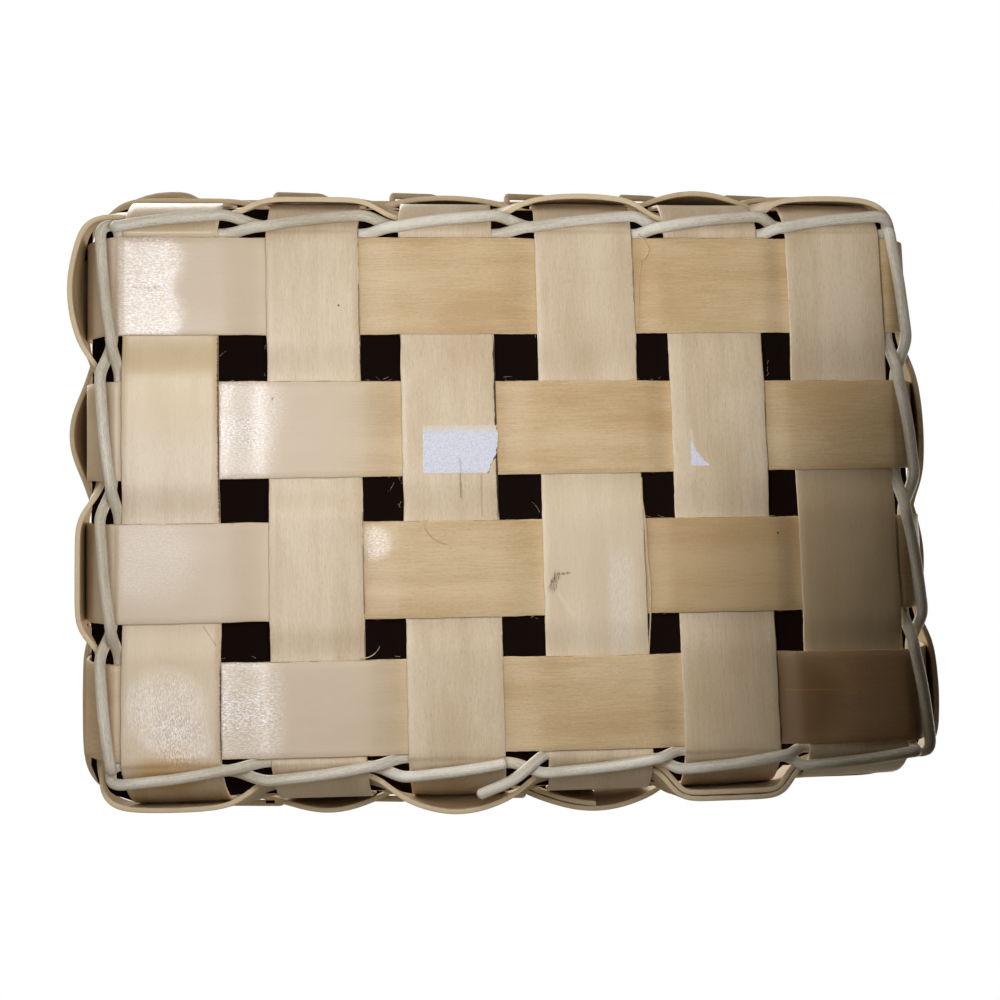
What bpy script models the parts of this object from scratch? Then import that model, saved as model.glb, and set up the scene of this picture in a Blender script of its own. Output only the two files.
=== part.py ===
"""A small splint berry basket, standing on its base with the mouth towards +Z.

Six cross splints and four long ones are woven over and under each other in the base, fold up and
climb the walls as its stakes. Two reeds are twined round the fold, three flat weavers go round the
walls, and two hoops and a filler reed are lashed over the ends of the stakes.
"""

import math

import bpy
from mathutils import Vector

MM = 0.001
CLEARANCE = 0.3 * MM  # left between pieces that touch

# Splints: thin strips that run from rim to rim across the base
SPLINT_WIDTH = 25.4 * MM
SPLINT_THICKNESS = 1.0 * MM
CROSS_SPLINTS = 6  # along Y, side by side in X
LONG_SPLINTS = 4  # along X, side by side in Y
CROSS_GAP = 10.2 * MM  # mean hole between cross splints
LONG_GAP = 11.75 * MM  # mean hole between long splints
CROSS_GAP_SHARES = (1.27, 1.06, 1.12, 0.83, 0.73)  # of CROSS_GAP, uneven as the hand left them
LONG_GAP_SHARES = (1.06, 1.02, 0.92)  # of LONG_GAP
# Split wood isn't quite even: each splint's width at its front or left end and at its other end,
# in shares of SPLINT_WIDTH
CROSS_WIDTH_SHARES = ((1.01, 1.03), (0.98, 0.98), (0.99, 0.99), (1.03, 1.07), (0.99, 0.98), (0.99, 1.02))
LONG_WIDTH_SHARES = ((1.01, 1.0), (1.02, 0.94), (1.03, 0.99), (1.0, 0.98))

# Walls: a tight fold at the base's edge, a wide round, then a straight lean outwards
BASE_LIFT = 2.2 * MM  # the base's lowest face over the ground, because the twined reed stands proud
FOLD_RADIUS = 4.0 * MM
FOLD_ANGLE = math.radians(45)
WALL_LEAN = math.radians(8)  # from upright
STAND_FRONT = 8.0 * MM  # how far each leaning wall, run down to the base, would lie outside its fold
STAND_RIGHT = 6.2 * MM
STAND_BACK = 10.5 * MM
STAND_LEFT = 10.2 * MM
STAKE_FAN_SHARE = 0.02  # how much further apart the stakes stand at the rim
EDGE_CORNER_RADIUS = 1.5 * MM  # of the folded edge
CORNER_GROWTH_SHARE = 0.8  # of the wall's standing out, added to that radius

# Base reeds: two round strands twined round the fold, one outside and one inside each stake
REED_DIAMETER = 3.0 * MM
REED_OUTSIDE = (1.6 * MM, 5.1 * MM)  # up the wall from its fold, where a strand meets and leaves a stake
REED_INSIDE = (6.8 * MM, 2.4 * MM)
# How strongly a strand holds its direction into and out of a corner, where it goes in and comes out
REED_CORNER_LEADS = (12.0 * MM, 8.8 * MM)
TAIL_STAKE = 12  # the first strand finishes inside this stake, and its tail comes out after it
TAIL_OUT = (7.9 * MM, 11.0 * MM)  # how far the tail lies outside the fold by the next stake's edge, and ends
TAIL_RISE = (-1.6 * MM, -0.6 * MM)  # its height there over the base's middle
TAIL_LEAD = 7.0 * MM  # how strongly it holds its direction where it leaves the stake, and turns down
TAIL_DIP = 9.0 * MM
TAIL_PAST = -0.4  # where it ends, as a share of the next stake's half width from its middle

# Weavers: three flat strips round the walls, each with its own lap
WEAVER_ROWS = 3
WEAVER_WIDTH = 25.0 * MM
WEAVER_THICKNESS = 1.4 * MM
WEAVER_START = 10.2 * MM  # height of the lowest one's lower edge
WEAVER_SPACE = 1.0 * MM  # between one weaver and the next
# How far each weaver's lower edge bows out in front of a stake, and the shares of that by stake,
# from the front left round
WEAVER_BOWS = (2.0 * MM, 2.0 * MM, 0.6 * MM)
WEAVER_BOW_SHARES = (
    (0, 0, 0.6, 0.6, 1.5, 0.35)
    + (0.1, 0.4, 0.9, 0.4)
    + (0, 0, 1.8, 1.7, 1.7, 0.3)
    + (0.1, 0, 2.4, 1.3)
)
WEAVER_STARTS = (10, 12, 3)  # the stake where each weaver starts
WEAVER_LAPS = (2, 1, 2)  # stakes that its two ends share
WEAVER_LAP_SIDES = (-1, 1, -1)  # 1 where the finishing end lies outside the starting end

# Rim: two flat hoops, a round filler on top and a round lashing
HOOP_HEIGHT = 12.0 * MM
HOOP_THICKNESS = 2.0 * MM
HOOP_LAP = 40.0 * MM
HOOP_TIP_SHARE = 0.15  # of the hoop's thickness left at the tip of a shaved end
STAKE_END_DROP = 1.0 * MM  # from the hoops' top edge down to the ends of the stakes
FILLER_DIAMETER = 3.0 * MM
LASHING_DIAMETER = 2.0 * MM
LASHING_CORNER = 1.0 * MM  # cut off each corner where the lashing turns under the hoops

# The whole basket is a little out of square: how far each base corner has moved, in shares of
# CROSS_GAP: front left, front right, back right, back left
SKEW_SHARES = ((0.05, -0.09), (-0.34, 0.08), (0.34, -0.26), (-0.05, 0.16))

# Colours, roughness
LONG_SPLINT_LOOK = ((0.60, 0.42, 0.24), 0.5)
CROSS_SPLINT_LOOK = ((0.66, 0.50, 0.32), 0.5)
WEAVER_LOOK = ((0.62, 0.46, 0.30), 0.55)
REED_LOOK = ((0.72, 0.66, 0.54), 0.6)
HOOP_LOOK = ((0.60, 0.44, 0.28), 0.55)

# Facets
CROSSING_STEPS = 4  # spans where a weaver passes a stake
GAP_STEPS = 4
CORNER_STEPS = 6
FOLD_STEPS = 4
ROUND_STEPS = 6
ARCH_STEPS = 6
SIDE_STEPS = 3  # spans up the outside of the rim, where the lashing goes round a corner
LAP_STEPS = 4

FRONT, RIGHT, BACK, LEFT = range(4)
STANDS = (STAND_FRONT, STAND_RIGHT, STAND_BACK, STAND_LEFT)
STAKES = 2 * (CROSS_SPLINTS + LONG_SPLINTS)
CROSSING_SHARE = 0.25  # the part of a step from stake to stake that lies before or behind the stake
LAYER_OFFSET = (SPLINT_THICKNESS + CLEARANCE) / 2  # of a base splint from the base's middle
BASE_MIDDLE = BASE_LIFT + SPLINT_THICKNESS / 2 + LAYER_OFFSET
WEAVER_RISE = (WEAVER_WIDTH + WEAVER_SPACE) * math.cos(WALL_LEAN)
WEAVERS_TOP = WEAVER_START + WEAVER_ROWS * WEAVER_RISE - WEAVER_SPACE
HOOP_LOW = WEAVERS_TOP + LASHING_DIAMETER + 3 * CLEARANCE
HOOP_TOP = HOOP_LOW + HOOP_HEIGHT * math.cos(WALL_LEAN)
STAKE_TOP = HOOP_TOP - STAKE_END_DROP


def smooth(share):
    """Ease from 0 to 1, level at both ends."""
    share = min(max(share, 0), 1)
    return share * share * (3 - 2 * share)


def share_of(shares, n):
    """A splint's entry in a table of shares, or its last entry for a splint beyond the table."""
    return shares[min(n, len(shares) - 1)]


def spread(count, width_shares, gap, gap_shares):
    """Middles of splints laid side by side with uneven holes, centred on zero, and the outer edge."""
    middles, place = [], 0
    for n in range(count):
        width = SPLINT_WIDTH * sum(share_of(width_shares, n)) / 2
        middles.append(place + width / 2)
        edge = place + width
        place = edge + gap * share_of(gap_shares, n)
    return [middle - edge / 2 for middle in middles], edge / 2


CROSS_MIDDLES, CROSS_EDGE = spread(CROSS_SPLINTS, CROSS_WIDTH_SHARES, CROSS_GAP, CROSS_GAP_SHARES)
LONG_MIDDLES, LONG_EDGE = spread(LONG_SPLINTS, LONG_WIDTH_SHARES, LONG_GAP, LONG_GAP_SHARES)
FOLD_X = CROSS_EDGE + CLEARANCE
FOLD_Y = LONG_EDGE + CLEARANCE


class Wall:
    """The line that a splint follows from its fold up one side, as distance out, height and slope."""

    def __init__(self, stand):
        self.fold_out = FOLD_RADIUS * math.sin(FOLD_ANGLE)
        self.fold_up = FOLD_RADIUS * (1 - math.cos(FOLD_ANGLE))
        steep = math.pi / 2 - WALL_LEAN
        lean = math.tan(WALL_LEAN)
        reach = math.sin(steep) - math.sin(FOLD_ANGLE)
        climb = math.cos(FOLD_ANGLE) - math.cos(steep)
        short = stand + (BASE_MIDDLE + self.fold_up) * lean - self.fold_out
        self.round_radius = short / (reach - climb * lean)
        self.fold_length = FOLD_RADIUS * FOLD_ANGLE
        self.round_length = self.round_radius * (steep - FOLD_ANGLE)
        self.steep = steep

    def along(self, length):
        """Distance out, height over the base's middle and slope at a length along the splint."""
        if length <= self.fold_length:
            slope = length / FOLD_RADIUS
            return FOLD_RADIUS * math.sin(slope), FOLD_RADIUS * (1 - math.cos(slope)), slope
        turned = min((length - self.fold_length) / self.round_radius, self.steep - FOLD_ANGLE)
        slope = FOLD_ANGLE + turned
        out = self.fold_out + self.round_radius * (math.sin(slope) - math.sin(FOLD_ANGLE))
        up = self.fold_up + self.round_radius * (math.cos(FOLD_ANGLE) - math.cos(slope))
        rest = max(length - self.fold_length - self.round_length, 0)
        return out + rest * math.cos(slope), up + rest * math.sin(slope), slope

    def at_height(self, height):
        """Distance out and slope at a height over the ground, above the fold."""
        up = height - BASE_MIDDLE - self.fold_up
        slope = math.acos(max(math.cos(FOLD_ANGLE) - up / self.round_radius, math.cos(self.steep)))
        out = self.fold_out + self.round_radius * (math.sin(slope) - math.sin(FOLD_ANGLE))
        rounded = self.round_radius * (math.cos(FOLD_ANGLE) - math.cos(slope))
        return out + (up - rounded) / math.tan(slope), slope

    def length_to(self, height):
        """Length along the splint up to a height that lies on the straight part."""
        up = height - BASE_MIDDLE - self.along(self.fold_length + self.round_length)[1]
        return self.fold_length + self.round_length + up / math.sin(self.steep)


WALLS = [Wall(stand) for stand in STANDS]


class Ring:
    """A level line round the basket, from the front left corner towards +X and on round."""

    def __init__(self, outs):
        self.corner = EDGE_CORNER_RADIUS + CORNER_GROWTH_SHARE * sum(outs) / len(outs)
        low_x, high_x = -FOLD_X - outs[LEFT], FOLD_X + outs[RIGHT]
        low_y, high_y = -FOLD_Y - outs[FRONT], FOLD_Y + outs[BACK]
        inner_x = low_x + self.corner, high_x - self.corner
        inner_y = low_y + self.corner, high_y - self.corner
        self.begins = [
            Vector((inner_x[0], low_y)),
            Vector((high_x, inner_y[0])),
            Vector((inner_x[1], high_y)),
            Vector((low_x, inner_y[1])),
        ]
        long_run, short_run = inner_x[1] - inner_x[0], inner_y[1] - inner_y[0]
        self.runs = [long_run, short_run, long_run, short_run]
        self.bend = self.corner * math.pi / 2
        self.length = sum(self.runs) + 4 * self.bend

    def place(self, along, offset):
        """The point at a distance along the ring, moved outwards by the offset."""
        along %= self.length
        side = 0
        while along > self.runs[side] + self.bend:
            along -= self.runs[side] + self.bend
            side += 1
        heading = side * math.pi / 2
        forward = Vector((math.cos(heading), math.sin(heading)))
        outward = Vector((math.sin(heading), -math.cos(heading)))
        if along <= self.runs[side]:
            return self.begins[side] + forward * along + outward * offset
        middle = self.begins[side] + forward * self.runs[side] - outward * self.corner
        turned = (along - self.runs[side]) / self.corner
        outward = outward * math.cos(turned) + forward * math.sin(turned)
        return middle + outward * (self.corner + offset)

    def along_part(self, part):
        """Distance along the ring to a part, where even parts are straight runs and odd ones corners."""
        whole = math.floor(part)
        lengths = [length for run in self.runs for length in (run, self.bend)]
        rounds, inner = divmod(whole, len(lengths))
        return rounds * self.length + sum(lengths[:inner]) + lengths[inner] * (part - whole)

    def along_at(self, side, across):
        """Distance along the ring to a place on a side, given by its X or its Y."""
        start = self.begins[side][side % 2]
        forward = 1 if side in (FRONT, RIGHT) else -1
        return sum(self.runs[:side]) + side * self.bend + (across - start) * forward


def stake(number):
    """The side that a stake stands on, its middle there and half its width, from the front left round."""
    number %= STAKES
    for side in range(4):
        cross = side in (FRONT, BACK)
        middles = CROSS_MIDDLES if cross else LONG_MIDDLES
        if number < len(middles):
            n = number if side in (FRONT, RIGHT) else len(middles) - 1 - number
            shares = share_of(CROSS_WIDTH_SHARES if cross else LONG_WIDTH_SHARES, n)
            return side, middles[n], SPLINT_WIDTH * shares[0 if side in (FRONT, LEFT) else 1] / 2
        number -= len(middles)


def fanned(middle, height):
    """A stake's middle at a height, a little further from its neighbours than in the base."""
    return middle * (1 + STAKE_FAN_SHARE * height / HOOP_TOP)


def along_stakes(ring, height, step):
    """Distance along a ring at a step, where whole steps are the middles of stakes."""
    number = math.floor(step + CROSSING_SHARE)
    past = step - number
    places, halves = [], []
    for n in (number, number + 1):
        side, middle, half = stake(n)
        places.append(ring.along_at(side, fanned(middle, height)) + ring.length * (n // STAKES))
        halves.append(half + CLEARANCE)
    if past <= CROSSING_SHARE:
        return places[0] + halves[0] * past / CROSSING_SHARE
    share = (past - CROSSING_SHARE) / (1 - 2 * CROSSING_SHARE)
    return places[0] + halves[0] + (places[1] - places[0] - sum(halves)) * share


def blend(values, step):
    """A value that is steady at each stake and eases over to the next in the gap between them."""
    number = math.floor(step + CROSSING_SHARE)
    share = (step - number - CROSSING_SHARE) / (1 - 2 * CROSSING_SHARE)
    before, after = values(number), values(number + 1)
    return before + (after - before) * smooth(share)


def steps_between(first, last):
    """Steps at which a strip is drawn, from one stake's middle to another's."""
    steps = []
    for number in range(first, last + 1):
        here = [CROSSING_SHARE * (2 * n / CROSSING_STEPS - 1) for n in range(CROSSING_STEPS + 1)]
        turns = stake(number)[0] != stake(number + 1)[0]
        count = CORNER_STEPS if turns else GAP_STEPS
        free = 1 - 2 * CROSSING_SHARE
        here += [CROSSING_SHARE + free * n / count for n in range(1, count)]
        steps += [number + place for place in here]
    return [step for step in steps if first <= step <= last]


def skewed(point):
    """The point after the basket has been pulled a little out of square."""
    across, deep = point[0] / FOLD_X, point[1] / FOLD_Y
    corners = ((-1, -1), (1, -1), (1, 1), (-1, 1))
    x, y = point[0], point[1]
    for (side_x, side_y), (share_x, share_y) in zip(corners, SKEW_SHARES):
        weight = (1 + side_x * across) * (1 + side_y * deep) / 4
        x += weight * share_x * CROSS_GAP
        y += weight * share_y * CROSS_GAP
    return Vector((x, y, point[2]))


def material(name, look):
    made = bpy.data.materials.new(name)
    made.use_nodes = True
    shader = made.node_tree.nodes["Principled BSDF"]
    shader.inputs["Base Color"].default_value = (*look[0], 1)
    shader.inputs["Roughness"].default_value = look[1]
    shader.inputs["Metallic"].default_value = 0
    return made


def add_object(name, data, look):
    made = bpy.data.objects.new(name, data)
    data.materials.append(material(name, look))
    bpy.context.scene.collection.objects.link(made)
    return made


def add_strip(name, edges, thickness, look, shares=None):
    """A flat strip between two edges, given as pairs of points, thickened evenly to both sides."""
    mesh = bpy.data.meshes.new(name)
    points = [skewed(point) for pair in edges for point in pair]
    faces = [(n, n + 1, n + 3, n + 2) for n in range(0, len(points) - 2, 2)]
    mesh.from_pydata(points, [], faces)
    strip = add_object(name, mesh, look)
    solid = strip.modifiers.new("thickness", "SOLIDIFY")
    solid.thickness = thickness
    solid.offset = 0
    solid.use_even_offset = True
    if shares:
        group = strip.vertex_groups.new(name="thickness")
        for n, share in enumerate(shares):
            group.add([2 * n, 2 * n + 1], share, "REPLACE")
        solid.vertex_group = group.name
    return strip


def add_reed(name, points, diameter, look):
    """A round strand along points, with six sides and closed ends."""
    curve = bpy.data.curves.new(name, "CURVE")
    curve.dimensions = "3D"
    curve.bevel_depth = diameter / 2
    curve.bevel_resolution = 1
    curve.use_fill_caps = True
    spline = curve.splines.new("POLY")
    spline.points.add(len(points) - 1)
    for place, point in zip(spline.points, points):
        place.co = (*skewed(point), 1)
    return add_object(name, curve, look)


def base_line(crossings, width_shares, lowers):
    """Distance along a splint and height in the base, where it passes over or under each crossing."""
    line = []
    for n, middle in enumerate(crossings):
        half = SPLINT_WIDTH * max(share_of(width_shares, n)) / 2 + CLEARANCE
        height = BASE_MIDDLE + (-LAYER_OFFSET if lowers[n] else LAYER_OFFSET)
        if n:
            start = line[-1][0]
            free = middle - half - start
            change = 2 * LAYER_OFFSET * (1 if lowers[n - 1] else -1)
            for step in range(1, GAP_STEPS):
                share = step / GAP_STEPS
                line.append((start + free * share, height - change * (1 - smooth(share))))
        line += [(middle - half, height), (middle + half, height)]
    return line


def wall_line(wall, offset):
    """Distance out and height from the fold to the rim, losing the base weave's offset in the fold."""
    top = wall.length_to(STAKE_TOP)
    lengths = [wall.fold_length * n / FOLD_STEPS for n in range(FOLD_STEPS + 1)]
    lengths += [wall.fold_length + wall.round_length * n / ROUND_STEPS for n in range(1, ROUND_STEPS + 1)]
    line = []
    for length in lengths + [top]:
        out, up, slope = wall.along(length)
        left = offset * (1 - smooth(length / REED_OUTSIDE[0]))
        line.append((out - left * math.sin(slope), BASE_MIDDLE + up + left * math.cos(slope)))
    return line


def splint_line(crossings, width_shares, lowers, walls, fold):
    """The whole run of a splint: down one wall, across the base and up the other."""
    ends = [-LAYER_OFFSET if lower else LAYER_OFFSET for lower in (lowers[0], lowers[-1])]
    down = [(-fold - out, height) for out, height in wall_line(walls[0], ends[0])]
    rise = [(fold + out, height) for out, height in wall_line(walls[1], ends[1])]
    return down[::-1] + base_line(crossings, width_shares, lowers)[1:-1] + rise


def half_width(shares, place, fold):
    """Half a splint's width at a place along it, changing evenly from fold to fold."""
    share = min(max((place / fold + 1) / 2, 0), 1)
    return SPLINT_WIDTH * (shares[0] + (shares[1] - shares[0]) * share) / 2


def make_splints():
    for n, middle in enumerate(CROSS_MIDDLES):
        lowers = [(n + row) % 2 == 1 for row in range(LONG_SPLINTS)]
        edges = []
        walls = WALLS[FRONT], WALLS[BACK]
        for y, z in splint_line(LONG_MIDDLES, LONG_WIDTH_SHARES, lowers, walls, FOLD_Y):
            x = fanned(middle, z)
            half = half_width(share_of(CROSS_WIDTH_SHARES, n), y, FOLD_Y)
            edges.append(((x - half, y, z), (x + half, y, z)))
        add_strip(f"cross_splint_{n + 1}", edges, SPLINT_THICKNESS, CROSS_SPLINT_LOOK)
    for n, middle in enumerate(LONG_MIDDLES):
        lowers = [(n + column) % 2 == 0 for column in range(CROSS_SPLINTS)]
        edges = []
        walls = WALLS[LEFT], WALLS[RIGHT]
        for x, z in splint_line(CROSS_MIDDLES, CROSS_WIDTH_SHARES, lowers, walls, FOLD_X):
            y = fanned(middle, z)
            half = half_width(share_of(LONG_WIDTH_SHARES, n), x, FOLD_X)
            edges.append(((x, y - half, z), (x, y + half, z)))
        add_strip(f"long_splint_{n + 1}", edges, SPLINT_THICKNESS, LONG_SPLINT_LOOK)


def beside(side, across, out, height):
    """A point on one side, at a distance outside its fold."""
    return Vector(
        (
            (across, -FOLD_Y - out, height),
            (FOLD_X + out, across, height),
            (across, FOLD_Y + out, height),
            (-FOLD_X - out, across, height),
        )[side]
    )


def heading(side):
    return Vector(((1, 0, 0), (0, 1, 0), (-1, 0, 0), (0, -1, 0))[side])


def strand_point(strand, number, past):
    """A strand's point beside a stake, past its middle by a share of its half width."""
    side, middle, half = stake(number)
    outside = (number + strand) % 2 == 1
    seat = SPLINT_THICKNESS / 2 + CLEARANCE + REED_DIAMETER / 2
    off = seat if outside else -seat
    first, last = REED_OUTSIDE if outside else REED_INSIDE
    out, up, slope = WALLS[side].along(first + (last - first) * (past + 1) / 2)
    across = middle + (half + CLEARANCE) * past * (1 if side in (FRONT, RIGHT) else -1)
    return beside(side, across, out + off * math.sin(slope), BASE_MIDDLE + up - off * math.cos(slope))


def bridge(start, start_lead, end, end_lead, count):
    """Points between two others on a curve that leaves and arrives in the directions of its leads."""
    points = []
    for n in range(1, count):
        share = n / count
        left = 1 - share
        point = start * (left * left * (1 + 2 * share)) + end * (share * share * (3 - 2 * share))
        points.append(point + start_lead * (share * left * left) - end_lead * (share * share * left))
    return points


def strand_line(strand, first, last):
    """A twined strand from beside one stake to beside another."""
    points = []
    for number in range(first, last + 1):
        points += [strand_point(strand, number, past) for past in (-1, 0, 1)]
        if number < last:
            sides = stake(number)[0], stake(number + 1)[0]
            start, end = points[-1], strand_point(strand, number + 1, -1)
            turns = sides[0] != sides[1]
            lead = REED_CORNER_LEADS[(number + strand + 1) % 2] if turns else (end - start).length
            count = CORNER_STEPS if turns else GAP_STEPS
            points += bridge(start, heading(sides[0]) * lead, end, heading(sides[1]) * lead, count)
    return points


def strand_tail(start):
    """The first strand's end, coming out of its last gap and lying loose under the next stake."""
    side, middle, half = stake(TAIL_STAKE + 1)
    forward = 1 if side in (FRONT, RIGHT) else -1
    edge, end = (
        beside(side, middle + half * past * forward, out, BASE_MIDDLE + rise)
        for past, out, rise in zip((-1, TAIL_PAST), TAIL_OUT, TAIL_RISE)
    )
    turn = (end - edge).normalized() * (edge - start).length
    dive = heading(side) * TAIL_LEAD - Vector((0, 0, TAIL_DIP))
    return bridge(start, dive, edge, turn, GAP_STEPS) + [edge, end]


def make_base_reeds():
    """Each strand passes outside one stake and inside the next, rising where it goes in."""
    line = strand_line(0, TAIL_STAKE + 1, TAIL_STAKE + STAKES)
    add_reed("base_reed_1", line + strand_tail(line[-1]), REED_DIAMETER, REED_LOOK)
    line = strand_line(1, 1, STAKES + 1)
    add_reed("base_reed_2", line[1:-2], REED_DIAMETER, REED_LOOK)


def weaver_seats(height, outer_height):
    """A weaver's distance from a stake's middle at a height, when it passes inside and outside."""
    touch = SPLINT_THICKNESS / 2 + CLEARANCE + WEAVER_THICKNESS / 2
    inner, outer = [], []
    for wall, stand in zip(WALLS, STANDS):
        out, slope = wall.at_height(height)
        inner.append(-touch / math.sin(slope))
        outer.append(stand + outer_height * math.tan(WALL_LEAN) + touch / math.cos(WALL_LEAN) - out)
    return inner, outer


def weaver_edge(height, row, bow):
    """One edge of a weaver, as points from its starting end round to its finishing end."""
    first, lap, lap_side = WEAVER_STARTS[row], WEAVER_LAPS[row], WEAVER_LAP_SIDES[row]
    layer = WEAVER_THICKNESS + CLEARANCE
    inner, outer = weaver_seats(height, height)
    ring = Ring([wall.at_height(height)[0] for wall in WALLS])

    def seat(number):
        side = stake(number)[0]
        outside = (number + row) % 2 == 1
        doubled = (number - first) % STAKES <= lap
        offset = outer[side] if outside else inner[side]
        if doubled and outside == (lap_side < 0):
            offset += layer if outside else -layer
        return offset

    line = []
    for step in steps_between(first, first + STAKES + lap):
        number = math.floor(step + CROSSING_SHARE)
        offset = blend(seat, step)
        past = abs(step - number) / CROSSING_SHARE
        if (number + row) % 2 == 1 and past < 1:
            offset += bow * WEAVER_BOW_SHARES[number % len(WEAVER_BOW_SHARES)] * (1 - past * past)
        line.append(Vector((along_stakes(ring, height, step), offset, step)))
    points = []
    last = len(line) - 1
    for n, (along, offset, step) in enumerate(line):
        ahead = (line[min(n + 1, last)] - line[max(n - 1, 0)]).xy.normalized()
        start = first + STAKES - 1 + CROSSING_SHARE
        moved = lap_side * layer * smooth((step - start) / (1 - 2 * CROSSING_SHARE))
        x, y = ring.place(along - ahead.y * moved, offset + ahead.x * moved)
        points.append((x, y, height))
    return points


def make_weavers():
    for row in range(WEAVER_ROWS):
        low = WEAVER_START + row * WEAVER_RISE
        high = low + WEAVER_WIDTH * math.cos(WALL_LEAN)
        lower = weaver_edge(low, row, WEAVER_BOWS[row])
        upper = weaver_edge(high, row, 0)
        add_strip(f"side_weaver_{row + 1}", zip(lower, upper), WEAVER_THICKNESS, WEAVER_LOOK)


def rim_ring(height):
    return Ring([wall.at_height(height)[0] for wall in WALLS])


def parts_round(start, corner_steps):
    """Parts of a ring from a start on a straight run once round, close together at the corners."""
    first = math.ceil(start)
    parts = []
    for corner in range(first, first + 8, 2):
        parts += [corner + n / corner_steps for n in range(corner_steps + 1)]
    return parts


def make_hoop(name, side, start):
    """A flat hoop on one side of the stakes, its ends shaved to one thickness where they lap."""
    seat = SPLINT_THICKNESS / 2 + CLEARANCE + HOOP_THICKNESS / 2
    rings = rim_ring(HOOP_LOW), rim_ring(HOOP_TOP)
    lap = HOOP_LAP / rings[0].runs[start // 2]
    start += (1 - lap) / 2
    tip = HOOP_TIP_SHARE
    root = 1 - CLEARANCE / HOOP_THICKNESS - tip
    thicken = (root - tip) / LAP_STEPS
    begin = [(start + lap * n / LAP_STEPS, tip + thicken * n, -1) for n in range(LAP_STEPS + 1)]
    end = [(part + 8, tip + root - share, 1) for part, share, _ in begin]
    whole = [start + lap * (1 + 1 / LAP_STEPS)] + parts_round(start, CORNER_STEPS)
    whole.append(start + 8 - lap / LAP_STEPS)
    stops = begin + [(part, 1, 0) for part in whole] + end
    edges = []
    for part, share, layer in stops:
        out = side * (seat + layer * (1 - share) / 2 * HOOP_THICKNESS) / math.cos(WALL_LEAN)
        pair = [(*ring.place(ring.along_part(part), out), height)
                for ring, height in zip(rings, (HOOP_LOW, HOOP_TOP))]
        edges.append(pair)
    add_strip(name, edges, HOOP_THICKNESS, HOOP_LOOK, [share for _, share, _ in stops])


def make_filler():
    """A round reed on the hoops' top edges, its two ends butted."""
    height = HOOP_TOP + CLEARANCE + FILLER_DIAMETER / 2
    ring = rim_ring(height)
    start = 2 * BACK + 1 / 4
    butt = CLEARANCE / ring.runs[BACK]
    parts = [start + butt] + parts_round(start, CORNER_STEPS) + [start + 8 - butt]
    points = [(*ring.place(ring.along_part(part), 0), height) for part in parts]
    add_reed("rim_filler", points, FILLER_DIAMETER, REED_LOOK)


def lashing_turn(side_steps):
    """One turn round the rim, as distance out, height and the share of the way to the next gap."""
    free = 2 * CLEARANCE + LASHING_DIAMETER / 2
    half = (SPLINT_THICKNESS / 2 + CLEARANCE + HOOP_THICKNESS + free) / math.cos(WALL_LEAN)
    low = HOOP_LOW - free
    arch = CLEARANCE + FILLER_DIAMETER + free
    turn = [(LASHING_CORNER - half, low, 0), (half - LASHING_CORNER, low, 0)]
    rise = HOOP_TOP - low - LASHING_CORNER
    side_share = rise / (2 * rise + math.pi * half)
    side = []
    for n in range(side_steps):
        side.append((half, low + LASHING_CORNER + rise * n / side_steps, side_share * n / side_steps))
    turn += side
    for n in range(ARCH_STEPS + 1):
        angle = math.pi * n / ARCH_STEPS
        share = side_share + (1 - 2 * side_share) * n / ARCH_STEPS
        turn.append((half * math.cos(angle), HOOP_TOP + arch * math.sin(angle), share))
    return turn + [(-out, height, 1 - share) for out, height, share in side[::-1]]


def make_lashing():
    """A lashing that passes under the hoops in each gap and slants over the rim to the next gap."""
    ring = rim_ring(HOOP_LOW)
    points = []
    for number in range(STAKES):
        here, there = (along_stakes(ring, HOOP_LOW, number + share) for share in (1 / 2, 3 / 2))
        turns = stake(number)[0] != stake(number + 2)[0]
        for out, height, share in lashing_turn(SIDE_STEPS if turns else 1):
            leaned = out + (height - HOOP_LOW) * math.tan(WALL_LEAN)
            points.append((*ring.place(here + (there - here) * share, leaned), height))
    add_reed("rim_lashing", points[:-1], LASHING_DIAMETER, REED_LOOK)


def set_down():
    """Move everything so that the basket's middle is over the origin and its lowest point on the ground."""
    bpy.context.view_layer.update()
    depsgraph = bpy.context.evaluated_depsgraph_get()
    pieces = list(bpy.context.scene.objects)
    points = []
    for piece in pieces:
        shown = piece.evaluated_get(depsgraph)
        points += [vertex.co.copy() for vertex in shown.to_mesh().vertices]
        shown.to_mesh_clear()
    low, high = (Vector([pick(point[axis] for point in points) for axis in range(3)]) for pick in (min, max))
    for piece in pieces:
        piece.location = (-(low.x + high.x) / 2, -(low.y + high.y) / 2, -low.z)


def main():
    for old in list(bpy.data.objects):
        bpy.data.objects.remove(old, do_unlink=True)
    make_splints()
    make_base_reeds()
    make_weavers()
    make_hoop("outer_rim_hoop", 1, 2 * FRONT)
    make_hoop("inner_rim_hoop", -1, 2 * BACK)
    make_filler()
    make_lashing()
    set_down()


main()
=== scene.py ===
"""The looks of a small splint berry basket, seen from below: fine meshes of its wood in place of the CAD
solids, with a torn label remnant and the loose fibres of hand-split strips.

Lengths are in millimetres until a mesh is made.
"""

import math
import random

import bpy
import numpy as np
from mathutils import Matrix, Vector, noise
from mathutils.bvhtree import BVHTree


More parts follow.
